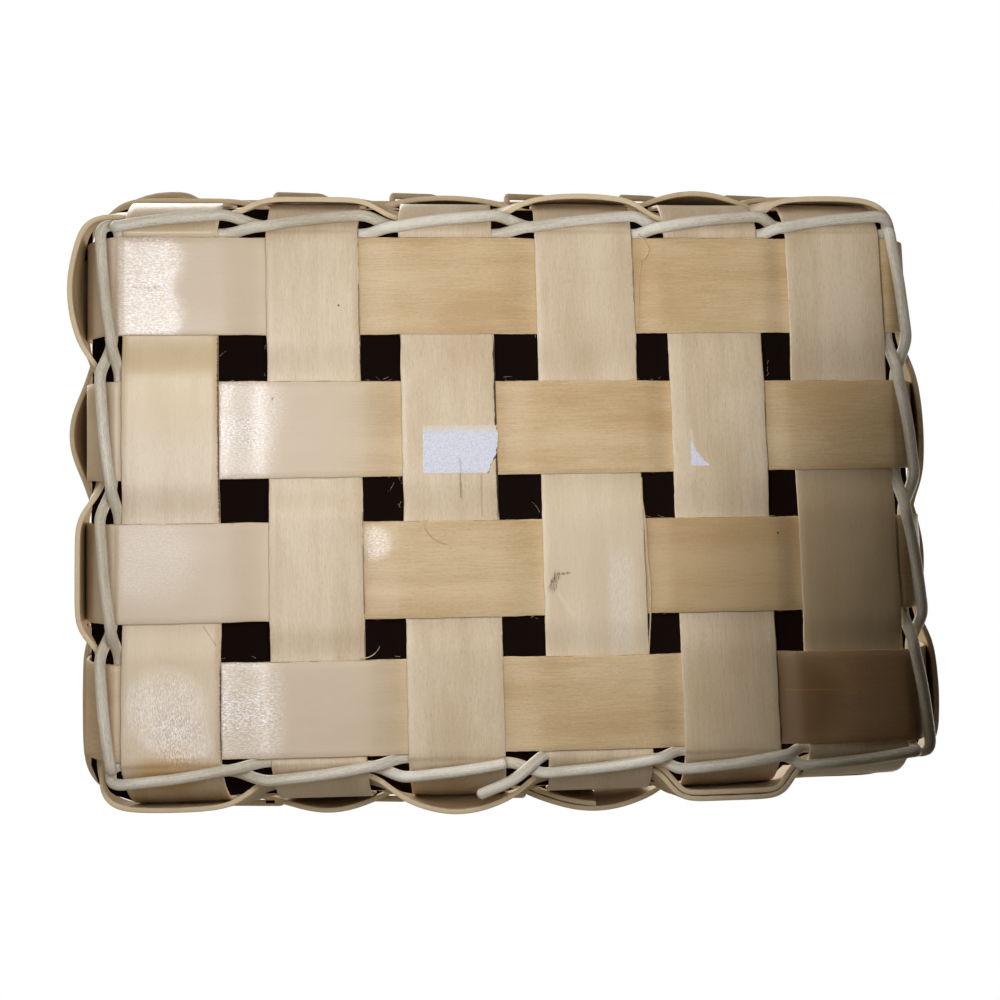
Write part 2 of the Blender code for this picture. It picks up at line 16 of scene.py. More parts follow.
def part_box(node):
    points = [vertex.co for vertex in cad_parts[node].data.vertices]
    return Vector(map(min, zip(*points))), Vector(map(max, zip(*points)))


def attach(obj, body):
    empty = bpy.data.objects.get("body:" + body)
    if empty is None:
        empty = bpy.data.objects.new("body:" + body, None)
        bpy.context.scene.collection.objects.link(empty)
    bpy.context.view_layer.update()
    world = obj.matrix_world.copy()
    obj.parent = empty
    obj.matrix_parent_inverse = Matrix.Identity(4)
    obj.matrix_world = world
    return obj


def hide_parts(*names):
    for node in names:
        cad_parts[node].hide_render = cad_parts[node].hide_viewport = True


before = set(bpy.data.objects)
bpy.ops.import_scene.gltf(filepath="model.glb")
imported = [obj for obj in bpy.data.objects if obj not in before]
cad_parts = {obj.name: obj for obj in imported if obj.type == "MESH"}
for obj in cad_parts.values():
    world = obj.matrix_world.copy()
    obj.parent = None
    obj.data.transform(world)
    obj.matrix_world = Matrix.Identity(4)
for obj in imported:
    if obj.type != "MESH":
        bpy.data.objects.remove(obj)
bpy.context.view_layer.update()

# Cross splints
# Six pale strips of split wood from front to back, woven over and under the long splints. They fold
# up at the base's edges and lean out as the stakes of the long walls. Some still have the torn edges
# that splitting left, and dark lines along their edges that are partly split fibres and partly painted shade.

# The sizes of the weave are the CAD part's, so that every fine mesh lies where its solid lies.
MM = 0.001
CLEARANCE = 0.3
SPLINT_WIDTH, SPLINT_THICKNESS = 25.4, 1.0
CROSS_WIDTH_SHARES = ((1.01, 1.03), (0.98, 0.98), (0.99, 0.99), (1.03, 1.07), (0.99, 0.98), (0.99, 1.02))
LONG_WIDTH_SHARES = ((1.01, 1.0), (1.02, 0.94), (1.03, 0.99), (1.0, 0.98))
CROSS_GAP, LONG_GAP = 10.2, 11.75
CROSS_GAPS = [CROSS_GAP * share for share in (1.27, 1.06, 1.12, 0.83, 0.73)]
LONG_GAPS = [LONG_GAP * share for share in (1.06, 1.02, 0.92)]
BASE_LIFT, FOLD_RADIUS, FOLD_ANGLE, WALL_LEAN = 2.2, 4.0, math.radians(45), math.radians(8)
STANDS = (8.0, 6.2, 10.5, 10.2)
FAN_SHARE = 0.02
LAYER = (SPLINT_THICKNESS + CLEARANCE) / 2
BASE_MIDDLE = BASE_LIFT + SPLINT_THICKNESS / 2 + LAYER
WEAVER_ROWS, WEAVER_WIDTH, WEAVER_THICKNESS, WEAVER_START = 3, 25.0, 1.4, 10.2
WEAVER_GAP, LASHING_DIAMETER, HOOP_HEIGHT, STAKE_SHORT = 1.0, 2.0, 12.0, 1.0
WEAVER_RISE = (WEAVER_WIDTH + WEAVER_GAP) * math.cos(WALL_LEAN)
HOOP_LOW = WEAVER_START + WEAVER_ROWS * WEAVER_RISE - WEAVER_GAP + LASHING_DIAMETER + 3 * CLEARANCE
HOOP_TOP = HOOP_LOW + HOOP_HEIGHT * math.cos(WALL_LEAN)
# How far each corner is pulled out of square, and how far the walls of the last one are pressed in.
CORNERS = ((-1, -1), (1, -1), (1, 1), (-1, 1))
SKEW = ((0.51, -0.918), (-3.468, 0.816), (3.468, -2.652), (-0.51, 1.632))
PRESSED_CORNER, PRESSED = (1, 1), (-2.8, -2.8)
PRESS_START, PRESS_RISE, PRESS_POWER = 5, 25, 12
FRONT, RIGHT, BACK, LEFT = range(4)


def smooth(share):
    """Ease from 0 to 1, level at both ends."""
    share = min(max(share, 0), 1)
    return share * share * (3 - 2 * share)


def spread(width_shares, gaps):
    """Middles of splints laid side by side, centred on zero, and the outer edge."""
    middles, place = [], 0
    for shares, gap in zip(width_shares, gaps + [0]):
        width = SPLINT_WIDTH * sum(shares) / 2
        middles.append(place + width / 2)
        edge = place + width
        place = edge + gap
    return [middle - edge / 2 for middle in middles], edge / 2


CROSS_MIDDLES, FOLD_X = spread(CROSS_WIDTH_SHARES, CROSS_GAPS)
LONG_MIDDLES, FOLD_Y = spread(LONG_WIDTH_SHARES, LONG_GAPS)
FOLD_X += CLEARANCE
FOLD_Y += CLEARANCE


class Wall:
    """The line of one wall: a tight fold, a wide round and a straight lean."""

    def __init__(self, stand):
        self.fold_out = FOLD_RADIUS * math.sin(FOLD_ANGLE)
        self.fold_up = FOLD_RADIUS * (1 - math.cos(FOLD_ANGLE))
        self.steep = math.pi / 2 - WALL_LEAN
        lean = math.tan(WALL_LEAN)
        reach = math.sin(self.steep) - math.sin(FOLD_ANGLE)
        climb = math.cos(FOLD_ANGLE) - math.cos(self.steep)
        short = stand + (BASE_MIDDLE + self.fold_up) * lean - self.fold_out
        self.radius = short / (reach - climb * lean)
        self.fold_length = FOLD_RADIUS * FOLD_ANGLE
        self.round_length = self.radius * (self.steep - FOLD_ANGLE)

    def along(self, length):
        """Distance out, height over the base's middle and slope at a length along the splint."""
        if length <= self.fold_length:
            slope = length / FOLD_RADIUS
            return FOLD_RADIUS * math.sin(slope), FOLD_RADIUS * (1 - math.cos(slope)), slope
        slope = FOLD_ANGLE + min((length - self.fold_length) / self.radius, self.steep - FOLD_ANGLE)
        out = self.fold_out + self.radius * (math.sin(slope) - math.sin(FOLD_ANGLE))
        up = self.fold_up + self.radius * (math.cos(FOLD_ANGLE) - math.cos(slope))
        rest = max(length - self.fold_length - self.round_length, 0)
        return out + rest * math.cos(slope), up + rest * math.sin(slope), slope

    def at_height(self, height):
        """Distance out and slope at a height over the ground, above the fold."""
        up = height - BASE_MIDDLE - self.fold_up
        slope = math.acos(max(math.cos(FOLD_ANGLE) - up / self.radius, math.cos(self.steep)))
        out = self.fold_out + self.radius * (math.sin(slope) - math.sin(FOLD_ANGLE))
        return out + (up - self.radius * (math.cos(FOLD_ANGLE) - math.cos(slope))) / math.tan(slope), slope

    def length_to(self, height):
        up = height - BASE_MIDDLE - self.along(self.fold_length + self.round_length)[1]
        return self.fold_length + self.round_length + up / math.sin(self.steep)


WALLS = [Wall(stand) for stand in STANDS]


def fanned(middle, height):
    return middle * (1 + FAN_SHARE * height / HOOP_TOP)


def skewed(point):
    """The point after the basket has been pulled out of square and one corner of its walls pressed in."""
    across, deep = point[0] / FOLD_X, point[1] / FOLD_Y
    high = smooth((point[2] - PRESS_START) / PRESS_RISE)
    x, y = point[0], point[1]
    for corner, (move_x, move_y) in zip(CORNERS, SKEW):
        weight = (1 + corner[0] * across) * (1 + corner[1] * deep) / 4
        x += weight * move_x
        y += weight * move_y
        if corner == PRESSED_CORNER:
            press = min(max(weight, 0), 1) ** PRESS_POWER * high
            x += press * PRESSED[0]
            y += press * PRESSED[1]
    return Vector((x, y, point[2]))


FOLD_STEPS, ROUND_STEPS, CROSSING_STEPS = 8, 14, 10
OFFSET_FADE = 1.6


def wall_line(wall, offset):
    """Distance out and height from the fold to the rim, losing the base weave's offset in the fold."""
    lengths = [wall.fold_length * n / FOLD_STEPS for n in range(FOLD_STEPS + 1)]
    lengths += [wall.fold_length + wall.round_length * n / ROUND_STEPS for n in range(1, ROUND_STEPS + 1)]
    line = []
    for length in lengths + [wall.length_to(HOOP_TOP - STAKE_SHORT)]:
        out, up, slope = wall.along(length)
        left = offset * (1 - smooth(length / OFFSET_FADE))
        line.append((out - left * math.sin(slope), BASE_MIDDLE + up + left * math.cos(slope)))
    return line


def splint_line(crossings, width_shares, lowers, walls, fold):
    """The whole run of a splint: down one wall, across the base over and under, and up the other."""
    ends = [-LAYER if lower else LAYER for lower in (lowers[0], lowers[-1])]
    line = [(-fold - out, height) for out, height in wall_line(walls[0], ends[0])][::-1]
    base = []
    for n, middle in enumerate(crossings):
        half = SPLINT_WIDTH * max(width_shares[n]) / 2 + CLEARANCE
        height = BASE_MIDDLE + (-LAYER if lowers[n] else LAYER)
        if n:
            start, free = base[-1][0], middle - half - base[-1][0]
            change = 2 * LAYER * (1 if lowers[n - 1] else -1)
            shares = [k / CROSSING_STEPS for k in range(1, CROSSING_STEPS)]
            base += [(start + free * share, height - change * (1 - smooth(share))) for share in shares]
        base += [(middle - half, height), (middle + half, height)]
    return line + base[1:-1] + [(fold + out, height) for out, height in wall_line(walls[1], ends[1])]


made = {}
SHARP_ANGLE = 50


def added(name, data):
    """A new object in the scene."""
    item = bpy.data.objects.new(name, data)
    bpy.context.scene.collection.objects.link(item)
    return item


def keep(name, points, faces, marks, look, nodes=()):
    """A piece of the basket from points in millimetres, with named per-point marks for its finish."""
    mesh = bpy.data.meshes.new(name)
    mesh.from_pydata([tuple(point) for point in np.asarray(points) * MM], [], faces)
    for mark, values in marks.items():
        mesh.attributes.new(mark, "FLOAT_VECTOR", "POINT").data.foreach_set("vector", np.ravel(values))
    mesh.shade_smooth()
    mesh.set_sharp_from_angle(angle=math.radians(SHARP_ANGLE))
    mesh.materials.append(look)
    piece = added(name, mesh)
    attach(piece, "root")
    if nodes:
        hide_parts(*nodes)
    made[name] = piece
    return piece


def drift(along, across, seed):
    """Smooth seeded unevenness between about -1 and 1, for arrays of places."""
    along, across = np.broadcast_arrays(along, across)
    flat = [noise.noise((a, b, seed)) for a, b in zip(along.flat, across.flat)]
    return np.array(flat).reshape(along.shape) * 1.6


def filled(rows, longest):
    """Rows of points with more put in, so that none lie further apart than the longest step."""
    out = [rows[0]]
    for before, after in zip(rows, rows[1:]):
        count = max(1, math.ceil(float(np.linalg.norm(after[:3] - before[:3])) / longest))
        out += [before + (after - before) * n / count for n in range(1, count + 1)]
    return np.array(out)


def eased_line(rows, rounds):
    """The rows after a number of rounds of smoothing, with both ends in place."""
    for _ in range(rounds):
        rows[1:-1] += (rows[:-2] + rows[2:] - 2 * rows[1:-1]) / 4
    return rows


def lengths_along(line):
    """The distance of each point from the first one, along the line, and the line's direction there."""
    steps = np.linalg.norm(np.diff(line, axis=0), axis=1)
    along = np.concatenate(([0], np.cumsum(steps)))
    return along, np.gradient(line, along, axis=0)


def loop_faces(stations, size):
    """The quads between successive loops of points, and a cap at each end."""
    faces = []
    for n in range(stations - 1):
        for k in range(size):
            ahead = (k + 1) % size
            faces.append((n * size + k, n * size + ahead, (n + 1) * size + ahead, (n + 1) * size + k))
    last = (stations - 1) * size
    return faces + [tuple(range(size))[::-1], tuple(range(last, last + size))]


# Strips are closed meshes with softly rounded edges, faint waves and uneven sides, as split wood
# has. Each point keeps its place along and across the grain, which the finishes are drawn by.
ROW_STEP, EDGE_ROUND, EDGE_SINK = 1.6, 0.25, 0.14
WAVE, RIPPLE, SIDE_WANDER, SIDE_NICKS = 0.08, 0.012, 0.1, 0.05
WAVE_LENGTH, WAVE_SPREAD, RIPPLE_LENGTH, RIPPLE_SPREAD = 34, 15, 5, 16
WANDER_LENGTH, NICK_LENGTH, SIDE_PLACES = 7, 1.3, (-9, 9)


def ribbon(name, lows, highs, thickness, seed, look, nodes, slot, shares=None, spans=14, eased=0):
    """A strip between two edges; its finish finds the grain, the distances to its edges and its place."""
    shares = shares or [1] * len(lows)
    rows = [np.array([*skewed(a), *skewed(b), c]) for a, b, c in zip(lows, highs, shares)]
    rows = eased_line(filled(rows, ROW_STEP), eased)
    low, high, share = rows[:, :3], rows[:, 3:6], rows[:, 6]
    middle = (low + high) / 2
    along, ahead = lengths_along(middle)
    across = high - low
    half = np.linalg.norm(across, axis=1) / 2
    across /= 2 * half[:, None]
    up = np.cross(across, ahead)
    up /= np.linalg.norm(up, axis=1)[:, None]
    inner = np.linspace(-1, 1, spans + 1)
    us = np.concatenate((inner, [1, 1, 1, 1], inner[::-1], [-1, -1, -1, -1]))
    bevel = EDGE_ROUND * np.array([0.5, 1, 1, 0.5])
    extra = np.concatenate((np.zeros(spans + 1), bevel, np.zeros(spans + 1), -bevel))
    flat = np.ones(spans + 1)
    vs = np.concatenate((flat, [1, 1, -1, -1], -flat, [-1, -1, 1, 1]))
    rounded = [EDGE_SINK, 0.5, 0.5, EDGE_SINK]
    sink = np.concatenate((flat * 0, rounded, flat * 0, rounded)) * 2 * EDGE_ROUND
    sides = [drift(along / WANDER_LENGTH, np.full_like(along, side), seed) for side in SIDE_PLACES]
    nicks = [drift(along / NICK_LENGTH, np.full_like(along, side), seed) for side in SIDE_PLACES]
    tall = thickness * share[:, None] / 2
    reach = half[:, None] - EDGE_ROUND + np.where(us < 0, *[
        SIDE_WANDER * side[:, None] + SIDE_NICKS * nick[:, None] for side, nick in zip(sides, nicks)])
    place = us * reach + extra
    lift = vs * np.maximum(tall - np.minimum(sink, tall), 0)
    waves = drift(along[:, None] / WAVE_LENGTH, place / WAVE_SPREAD, seed) * WAVE
    waves += drift(along[:, None] / RIPPLE_LENGTH, place / RIPPLE_SPREAD, seed + 5) * RIPPLE
    points = middle[:, None] + across[:, None] * place[..., None] + up[:, None] * (lift + waves)[..., None]
    grain = np.stack(np.broadcast_arrays(along[:, None], place, seed), -1)
    lower = -vs * np.sign(up[len(up) // 2, 2])
    rim = np.stack(np.broadcast_arrays(
        half[:, None] - np.abs(place), np.minimum(along, along[-1] - along)[:, None], lower), -1)
    marks = {"grain": grain, "rim": rim, "spot": points}
    size = len(us)
    return keep(name, points.reshape(-1, 3), loop_faces(len(along), size), marks, look, nodes)


def colour(red, green, blue):
    """A colour as it looks on screen, 0 to 255, in the linear values that shaders take."""
    shares = [part / 255 for part in (red, green, blue)]
    return (*[s / 12.92 if s <= 0.04045 else ((s + 0.055) / 1.055) ** 2.4 for s in shares], 1)


class Wire:
    """A value in a material's nodes that can be calculated with."""

    def __init__(self, tree, socket=None):
        self.tree, self.socket = tree, socket

    def node(self, kind, settings, inputs, output=0):
        """A new node of a type, with its settings and then its inputs, as the wire from one output."""
        node = self.tree.nodes.new(kind)
        for name, value in settings.items():
            setattr(node, name, value)
        for name, value in inputs.items():
            if isinstance(value, Wire):
                self.tree.links.new(value.socket, node.inputs[name])
            else:
                node.inputs[name].default_value = value
        return Wire(self.tree, node.outputs[output])

    def math(self, operation, *values, clamp=False):
        settings = {"operation": operation, "use_clamp": clamp}
        return self.node("ShaderNodeMath", settings, dict(enumerate((self, *values))))

    def __add__(self, other):
        return self.math("ADD", other)

    def __radd__(self, other):
        return self.math("ADD", other)

    def __sub__(self, other):
        return self.math("SUBTRACT", other)

    def __rsub__(self, other):
        return self.node("ShaderNodeMath", {"operation": "SUBTRACT"}, {0: other, 1: self})

    def __mul__(self, other):
        return self.math("MULTIPLY", other)

    def __rmul__(self, other):
        return self.math("MULTIPLY", other)

    def vector(self, operation, *values, output=0):
        inputs = dict(enumerate((self, *values)))
        return self.node("ShaderNodeVectorMath", {"operation": operation}, inputs, output)

    def part(self, axis):
        return self.node("ShaderNodeSeparateXYZ", {}, {0: self}, axis)

    def step(self, low, high):
        """Eases from 0 to 1 while the value goes from low to high."""
        inputs = {"Value": self, "From Min": low, "From Max": high}
        return self.node("ShaderNodeMapRange", {"interpolation_type": "SMOOTHSTEP"}, inputs)

    def noise(self, scales, detail=2.0, roughness=0.5):
        """Unevenness between 0 and 1 at a place, finer where a scale is larger."""
        place = self.vector("MULTIPLY", scales)
        inputs = {"Vector": place, "Scale": 1.0, "Detail": detail, "Roughness": roughness}
        return self.node("ShaderNodeTexNoise", {"noise_dimensions": "3D"}, inputs)

    def mix(self, first, second):
        """From the first colour to the second as this value goes from 0 to 1."""
        return self.node("ShaderNodeMix", {"data_type": "RGBA"}, {0: self, 6: first, 7: second}, 2)

    def mark(self, name):
        return self.node("ShaderNodeAttribute", {"attribute_name": name}, {}, "Vector")

    def near(self, place, radius):
        """1 at a place on the base, easing to 0 at a radius from it."""
        apart = self.vector("DISTANCE", (*place, BASE_LIFT), output="Value")
        return 1 - apart.step(radius * 0.5, radius)

    def arc(self, middle, radius, width, place, reach):
        """1 on a circle's line across the base, within a reach of a place on it."""
        apart = self.vector("DISTANCE", (*middle, BASE_LIFT), output="Value") - radius
        return (1 - apart.math("ABSOLUTE").step(width * 0.4, width)) * self.near(place, reach)

    def line(self, start, end, width, wobble=None):
        """1 on a straight line across the base from start to end, easing to 0 at its width."""
        run = Vector(end) - Vector(start)
        way = run.normalized()
        from_start = self.vector("SUBTRACT", (*start, 0))
        along = from_start.vector("DOT_PRODUCT", (*way, 0), output="Value")
        off = from_start.vector("DOT_PRODUCT", (-way.y, way.x, 0), output="Value")
        if wobble:
            off = off + wobble
        inside = along.step(-width, width) * (1 - along.step(run.length - width, run.length + width))
        return (1 - off.math("ABSOLUTE").step(width * 0.4, width)) * inside


def new_material(name):
    """A fresh material's first wire, and its shader."""
    finish = bpy.data.materials.new(name)
    finish.use_nodes = True
    tree = finish.node_tree
    return finish, Wire(tree), tree.nodes["Principled BSDF"]


def plug(wire, shader, name):
    wire.tree.links.new(wire.socket, shader.inputs[name])


# The size of a pixel of the reference picture on the base, and where the base's middle is in it.
PIXEL, MIDDLE_X, MIDDLE_Y = 0.265, 508.25, 495.25


def spot(px, py):
    """The place on the base, in millimetres, for a place measured in the reference picture."""
    return (px - MIDDLE_X) * PIXEL, (py - MIDDLE_Y) * PIXEL


# How fine each kind of unevenness is along the grain, across it and from strip to strip.
BANDS, CLOUD, FIBRES, FINE = (0.006, 0.13, 7.3), (0.035, 0.07, 3.1), (0.16, 3.6, 5.7), (0.9, 6.0, 1.9)
FLECKS, RAGGED, GLINTS = (0.6, 3.4, 9.1), (1.6, 0.4, 2.3), (1.3, 4.0, 6.1)
CHIPS, SWELL = (1.1, 3.3, 4.1), (0.05, 0.11, 8.7)
# The whitish colour of the painted glints.
GLARE_TINT = (255, 248, 248)


def wood(name, pale, deep, edge, marks=(), fleck=0.5, sheen=0.4, sparkle=1.0, smooth_spots=()):
    """Bare split wood: soft bands, fine fibres and short flecks along the grain, a cut edge's line that is
    partly a painted highlight, and painted glints in its smooth spots.
    """
    finish, start, shader = new_material(name)
    grain, rim, place = start.mark("grain"), start.mark("rim"), start.mark("spot")
    bands = grain.noise(BANDS, 2.0)
    cloud = grain.noise(CLOUD, 2.0)
    fibres = grain.noise(FIBRES, 3.0, 0.6)
    fine = grain.noise(FINE, 3.0, 0.7)
    flecks = grain.noise(FLECKS, 1.0).step(0.6, 0.72)
    tone = 0.5 + (bands - 0.5) * 1.9 + (cloud - 0.5) * 1.9 + (fibres - 0.5) * 1.6 + (fine - 0.5) * 1.9
    shade = tone.math("MULTIPLY", 1.0, clamp=True).mix(colour(*deep), colour(*pale))
    shade = (flecks * fleck * 0.5).mix(shade, colour(*[part * 0.8 for part in deep]))
    ragged = grain.noise(RAGGED, 2.0)
    # The paler cut-edge tint along the sides and at the ends is partly the cut fibres' own colour and partly
    # a painted highlight where the rounded edges catch the light.
    cut = 1 - (rim.part(0) + ragged * 0.35 - 0.17).step(0.06, 0.36)
    shade = (cut * 0.85).mix(shade, colour(*edge))
    end = 1 - (rim.part(1) + ragged * 0.4 - 0.2).step(0.1, 0.5)
    shade = (end * 0.7).mix(shade, colour(*edge))
    for drawn in marks:
        at, tint, strength = drawn(place, grain, rim)
        shade = (at * rim.part(2).step(0.0, 0.5) * strength).mix(shade, colour(*tint))
    smooth_part = 0
    for (px, py), reach, gain in smooth_spots:
        smooth_part = place.near(spot(px, py), reach) * gain + smooth_part
    # Painted glints: whitish flecks of colour in the smooth spots stand in for the sparkle of glare.
    glints = grain.noise(GLINTS, 2.0, 0.7).step(0.42, 0.64) * smooth_part
    shade = (glints * 1.9).mix(shade, colour(*GLARE_TINT))
    plug(shade, shader, "Base Color")
    rough = sheen + (fibres - 0.5) * 0.14 + (cloud - 0.5) * 0.2 + cut * 0.3
    plug(rough - smooth_part * 0.6 - glints * 0.5, shader, "Roughness")
    chips = grain.noise(CHIPS, 2.0, 0.6)
    swell = grain.noise(SWELL, 1.0)
    height = fibres * 0.015 + fine * 0.01 + chips * (smooth_part * 0.16 + 0.04) * sparkle
    height = height + swell * 0.2 * sparkle
    bump = start.node("ShaderNodeBump", {}, {"Strength": 1.0, "Distance": MM, "Height": height})
    plug(bump, shader, "Normal")
    return finish


# Every wood has three tints: the pale wood, the deep wood and the cut edge, whose paler line is partly a
# painted highlight on the rounded edges.
CROSS_TINTS = (222, 204, 178), (202, 180, 150), (228, 214, 190)


def patch(at, radius, tint, strength):
    """A mark for a finish: a soft patch of another colour round a place in the reference picture."""
    return lambda place, grain, rim: (place.near(spot(*at), radius), tint, strength)


def scratch(start, end, width, tint, strength, wander=1.0, waver=0.5, broken=0):
    """A mark for a finish: a line between two places that wanders a little, or is broken into bits."""

    def drawn(place, grain, rim):
        wobble = (grain.noise((waver, 0.3, 1.0), 2.0) - 0.5) * 0.8 * wander
        at = place.line(spot(*start), spot(*end), width, wobble)
        if broken:
            at = at * (1 - broken + grain.noise((0.7, 5.0, 1.0), 3.0, 0.7).step(0.38, 0.62) * broken)
        return at, tint, strength

    return drawn


def shade_and_fibre_edge(side, width, breaks, tint, strength):
    """A mark for a finish: a dark line along one long edge of the strip, partly painted shade of the crevice
    beside it and partly split fibres, broken here and there.
    """

    def drawn(place, grain, rim):
        here = grain.part(1).step(0.0, 1.0) if side > 0 else 1 - grain.part(1).step(-1.0, 0.0)
        left = grain.noise((0.12, 0.1, 2.0), 3.0, 0.7).step(*breaks)
        return (1 - rim.part(0).step(*width)) * here * left, tint, strength

    return drawn


def ragged_edge(place, grain, rim):
    """Torn brown fibres along the first splint's right edge, where it was split off."""
    rag = 1 - (rim.part(0) + grain.noise((2.2, 1.4, 1.0), 3.0, 0.7) * 1.1 - 0.55).step(0.1, 0.5)
    above, below = (place.line(spot(*start), spot(*end), 2.5) for start, end in RAGGED_RUNS)
    return rag * (above + below), (70, 48, 32), 0.95


def crack_shade(place, grain, rim):
    """Painted shade in the open crack along the third splint's right edge."""
    edge = 1 - (rim.part(0) + (grain.noise((0.35, 0.1, 1.0), 2.0) - 0.5) * 0.8).step(0.34, 0.52)
    return edge * place.line(*(spot(*end) for end in CRACK_RUN), 3.0), (52, 36, 26), 0.95


# Places measured in the reference picture, in pixels, and widths and radii in millimetres.
RAGGED_RUNS = ((219, 334), (219, 520)), ((219, 662), (220, 757))
CRACK_RUN = (498, 340), (499, 516)
DARK, SPLIT_SHADE, GOLDEN = (84, 60, 44), (58, 42, 32), (206, 182, 142)
# Dark lines along the cross splints' right edges: partly painted shade of the crevice beside them, partly
# split fibres.
dark_edge = shade_and_fibre_edge(1, (0.08, 0.34), (0.4, 0.55), DARK, 0.75)
CROSS_MARKS = (
    (
        patch((172, 330), 36, (204, 178, 132), 0.7),
        patch((172, 640), 18, GOLDEN, 0.55),
        patch((168, 784), 13, (200, 164, 108), 0.8),
        scratch((203, 624), (216, 643), 0.3, (150, 118, 82), 0.6, wander=0.5),
        ragged_edge,
    ),
    (dark_edge, patch((341, 304), 0.4, (70, 48, 34), 0.9)),
    (
        # Painted shade: dark lines in the split by the label's torn end.
        scratch((489, 472), (491.5, 461), 0.35, SPLIT_SHADE, 0.85, wander=0.2),
        scratch((491.5, 461), (499, 454), 0.35, SPLIT_SHADE, 0.85, wander=0.2),
        scratch((461, 472), (462, 497), 0.4, (128, 104, 84), 0.8, wander=0.3, broken=0.65),
        scratch((482, 474), (483, 516), 0.3, (176, 148, 112), 0.6, wander=0.3),
        crack_shade,
    ),
    (
        dark_edge,
        # Painted light: a paler patch and whitish highlight streaks on the fourth cross splint's lower part,
        # where light and glare fall.
        patch((595, 570), 32, (242, 228, 204), 0.35),
        scratch((620, 552), (622, 650), 4.5, (240, 236, 232), 0.5, wander=3, broken=1),
        scratch((551, 590), (557, 573), 1.3, (84, 60, 40), 1.0, wander=1.5, broken=1),
        scratch((556, 574), (570, 572), 0.45, (104, 78, 52), 0.9, broken=1),
        scratch((558, 592), (574, 616), 0.7, (232, 218, 190), 0.5, wander=2),
    ),
    (
        dark_edge,
        scratch((692, 430), (694, 466), 0.5, (226, 216, 206), 0.6),
        patch((730, 725), 26, (206, 180, 138), 0.3),
    ),
    # Painted shade: a browner tint on the sixth cross splint, where the lower right lies in shade.
    (dark_edge, patch((870, 580), 42, (190, 164, 122), 0.55)),
)
# The smoother places that catch the glare, as their place in pixels, radius and strength. They also carry
# painted glints.
CROSS_SHINE = ((((165, 706), 13, 0.3), ((180, 738), 10, 0.25)), (), (), (), (), ())


def splint(kind, n, middle, line, width_shares, fold, look, seed):
    """One splint's strip, whose width changes evenly from one fold to the other."""
    begin, end = width_shares[n]
    edges = [], []
    for along, height in line:
        share = min(max((along / fold + 1) / 2, 0), 1)
        half = SPLINT_WIDTH * (begin + (end - begin) * share) / 2
        for edge, side in zip(edges, (-1, 1)):
            across = fanned(middle, height) + side * half
            edge.append((across, along, height) if kind == "cross_splint" else (along, across, height))
    node = f"{kind}_{n + 1}"
    ribbon(f"{node}_wood", *edges, SPLINT_THICKNESS, seed, look, [node], kind)


for n, middle in enumerate(CROSS_MIDDLES):
    lowers = [(n + row) % 2 == 1 for row in range(len(LONG_MIDDLES))]
    run = splint_line(LONG_MIDDLES, LONG_WIDTH_SHARES, lowers, (WALLS[FRONT], WALLS[BACK]), FOLD_Y)
    look = wood(f"cross_wood_{n + 1}", *CROSS_TINTS, CROSS_MARKS[n], smooth_spots=CROSS_SHINE[n])
    splint("cross_splint", n, middle, run, CROSS_WIDTH_SHARES, FOLD_Y, look, 11.7 * (n + 1))


# Long splints
# Four strips of a more golden wood from side to side, woven through the cross splints. One has a
# faint brown arc, others small dark specks.
LONG_TINTS = (214, 190, 152), (193, 162, 118), (222, 202, 168)
LONG_SHINE = (
    (((150, 258), 12, 0.33), ((150, 312), 12, 0.33)),
    (((240, 405), 15, 0.3), ((240, 450), 13, 0.26)),
    (((374, 542), 6, 0.3), ((150, 555), 16, 0.1)),
    (((242, 690), 14, 0.3), ((242, 730), 14, 0.3)),
)
# The arc's middle and a place on it in pixels, its radius, its width and its reach.
ARC_MIDDLE, ARC_PLACE, ARC_RADIUS, ARC_WIDTH, ARC_REACH = (452, 515), (434, 538), 28.8 * PIXEL, 0.3, 5.5


def brown_arc(place, grain, rim):
    """The faint brown arc on the third long splint."""
    at = place.arc(spot(*ARC_MIDDLE), ARC_RADIUS, ARC_WIDTH, spot(*ARC_PLACE), ARC_REACH)
    return at, (160, 124, 80), 0.55


def glare_haze_start(at):
    """A mark for a finish: a painted cool haze of reflected glare towards the left end of a strip."""
    return patch(at, 52, (212, 195, 175), 0.75)


# Dark dashes along the long splints' top edges: partly painted shade of the crevice beside them, partly split
# fibres.
dark_top = shade_and_fibre_edge(-1, (0.06, 0.3), (0.42, 0.56), (96, 70, 50), 0.6)
LONG_MARKS = (
    (glare_haze_start((150, 285)), dark_top),
    (
        glare_haze_start((230, 425)),
        dark_top,
        patch((274, 397), 0.45, (58, 40, 30), 0.95),
        patch((517, 447), 0.36, (74, 48, 32), 0.9),
    ),
    (
        glare_haze_start((170, 572)),
        dark_top,
        brown_arc,
        patch((725, 565), 30, (176, 144, 100), 0.45),
        patch((778, 534), 0.5, (66, 46, 32), 0.9),
    ),
    (
        glare_haze_start((255, 712)),
        dark_top,
        # Painted shade: browner, darker tints on the fourth long splint's right end, where the lower right
        # lies in shade.
        patch((880, 700), 34, (150, 104, 62), 0.6),
        patch((786, 700), 18, (128, 94, 58), 0.7),
        scratch((785, 691), (918, 690), 0.3, (196, 140, 96), 0.5, wander=0.4, waver=0.4),
    ),
)

for n, middle in enumerate(LONG_MIDDLES):
    lowers = [(n + column) % 2 == 0 for column in range(len(CROSS_MIDDLES))]
    run = splint_line(CROSS_MIDDLES, CROSS_WIDTH_SHARES, lowers, (WALLS[LEFT], WALLS[RIGHT]), FOLD_X)
    look = wood(f"long_wood_{n + 1}", *LONG_TINTS, LONG_MARKS[n], sheen=0.48, smooth_spots=LONG_SHINE[n])
    splint("long_splint", n, middle, run, LONG_WIDTH_SHARES, FOLD_X, look, 7.9 * (n + 9))


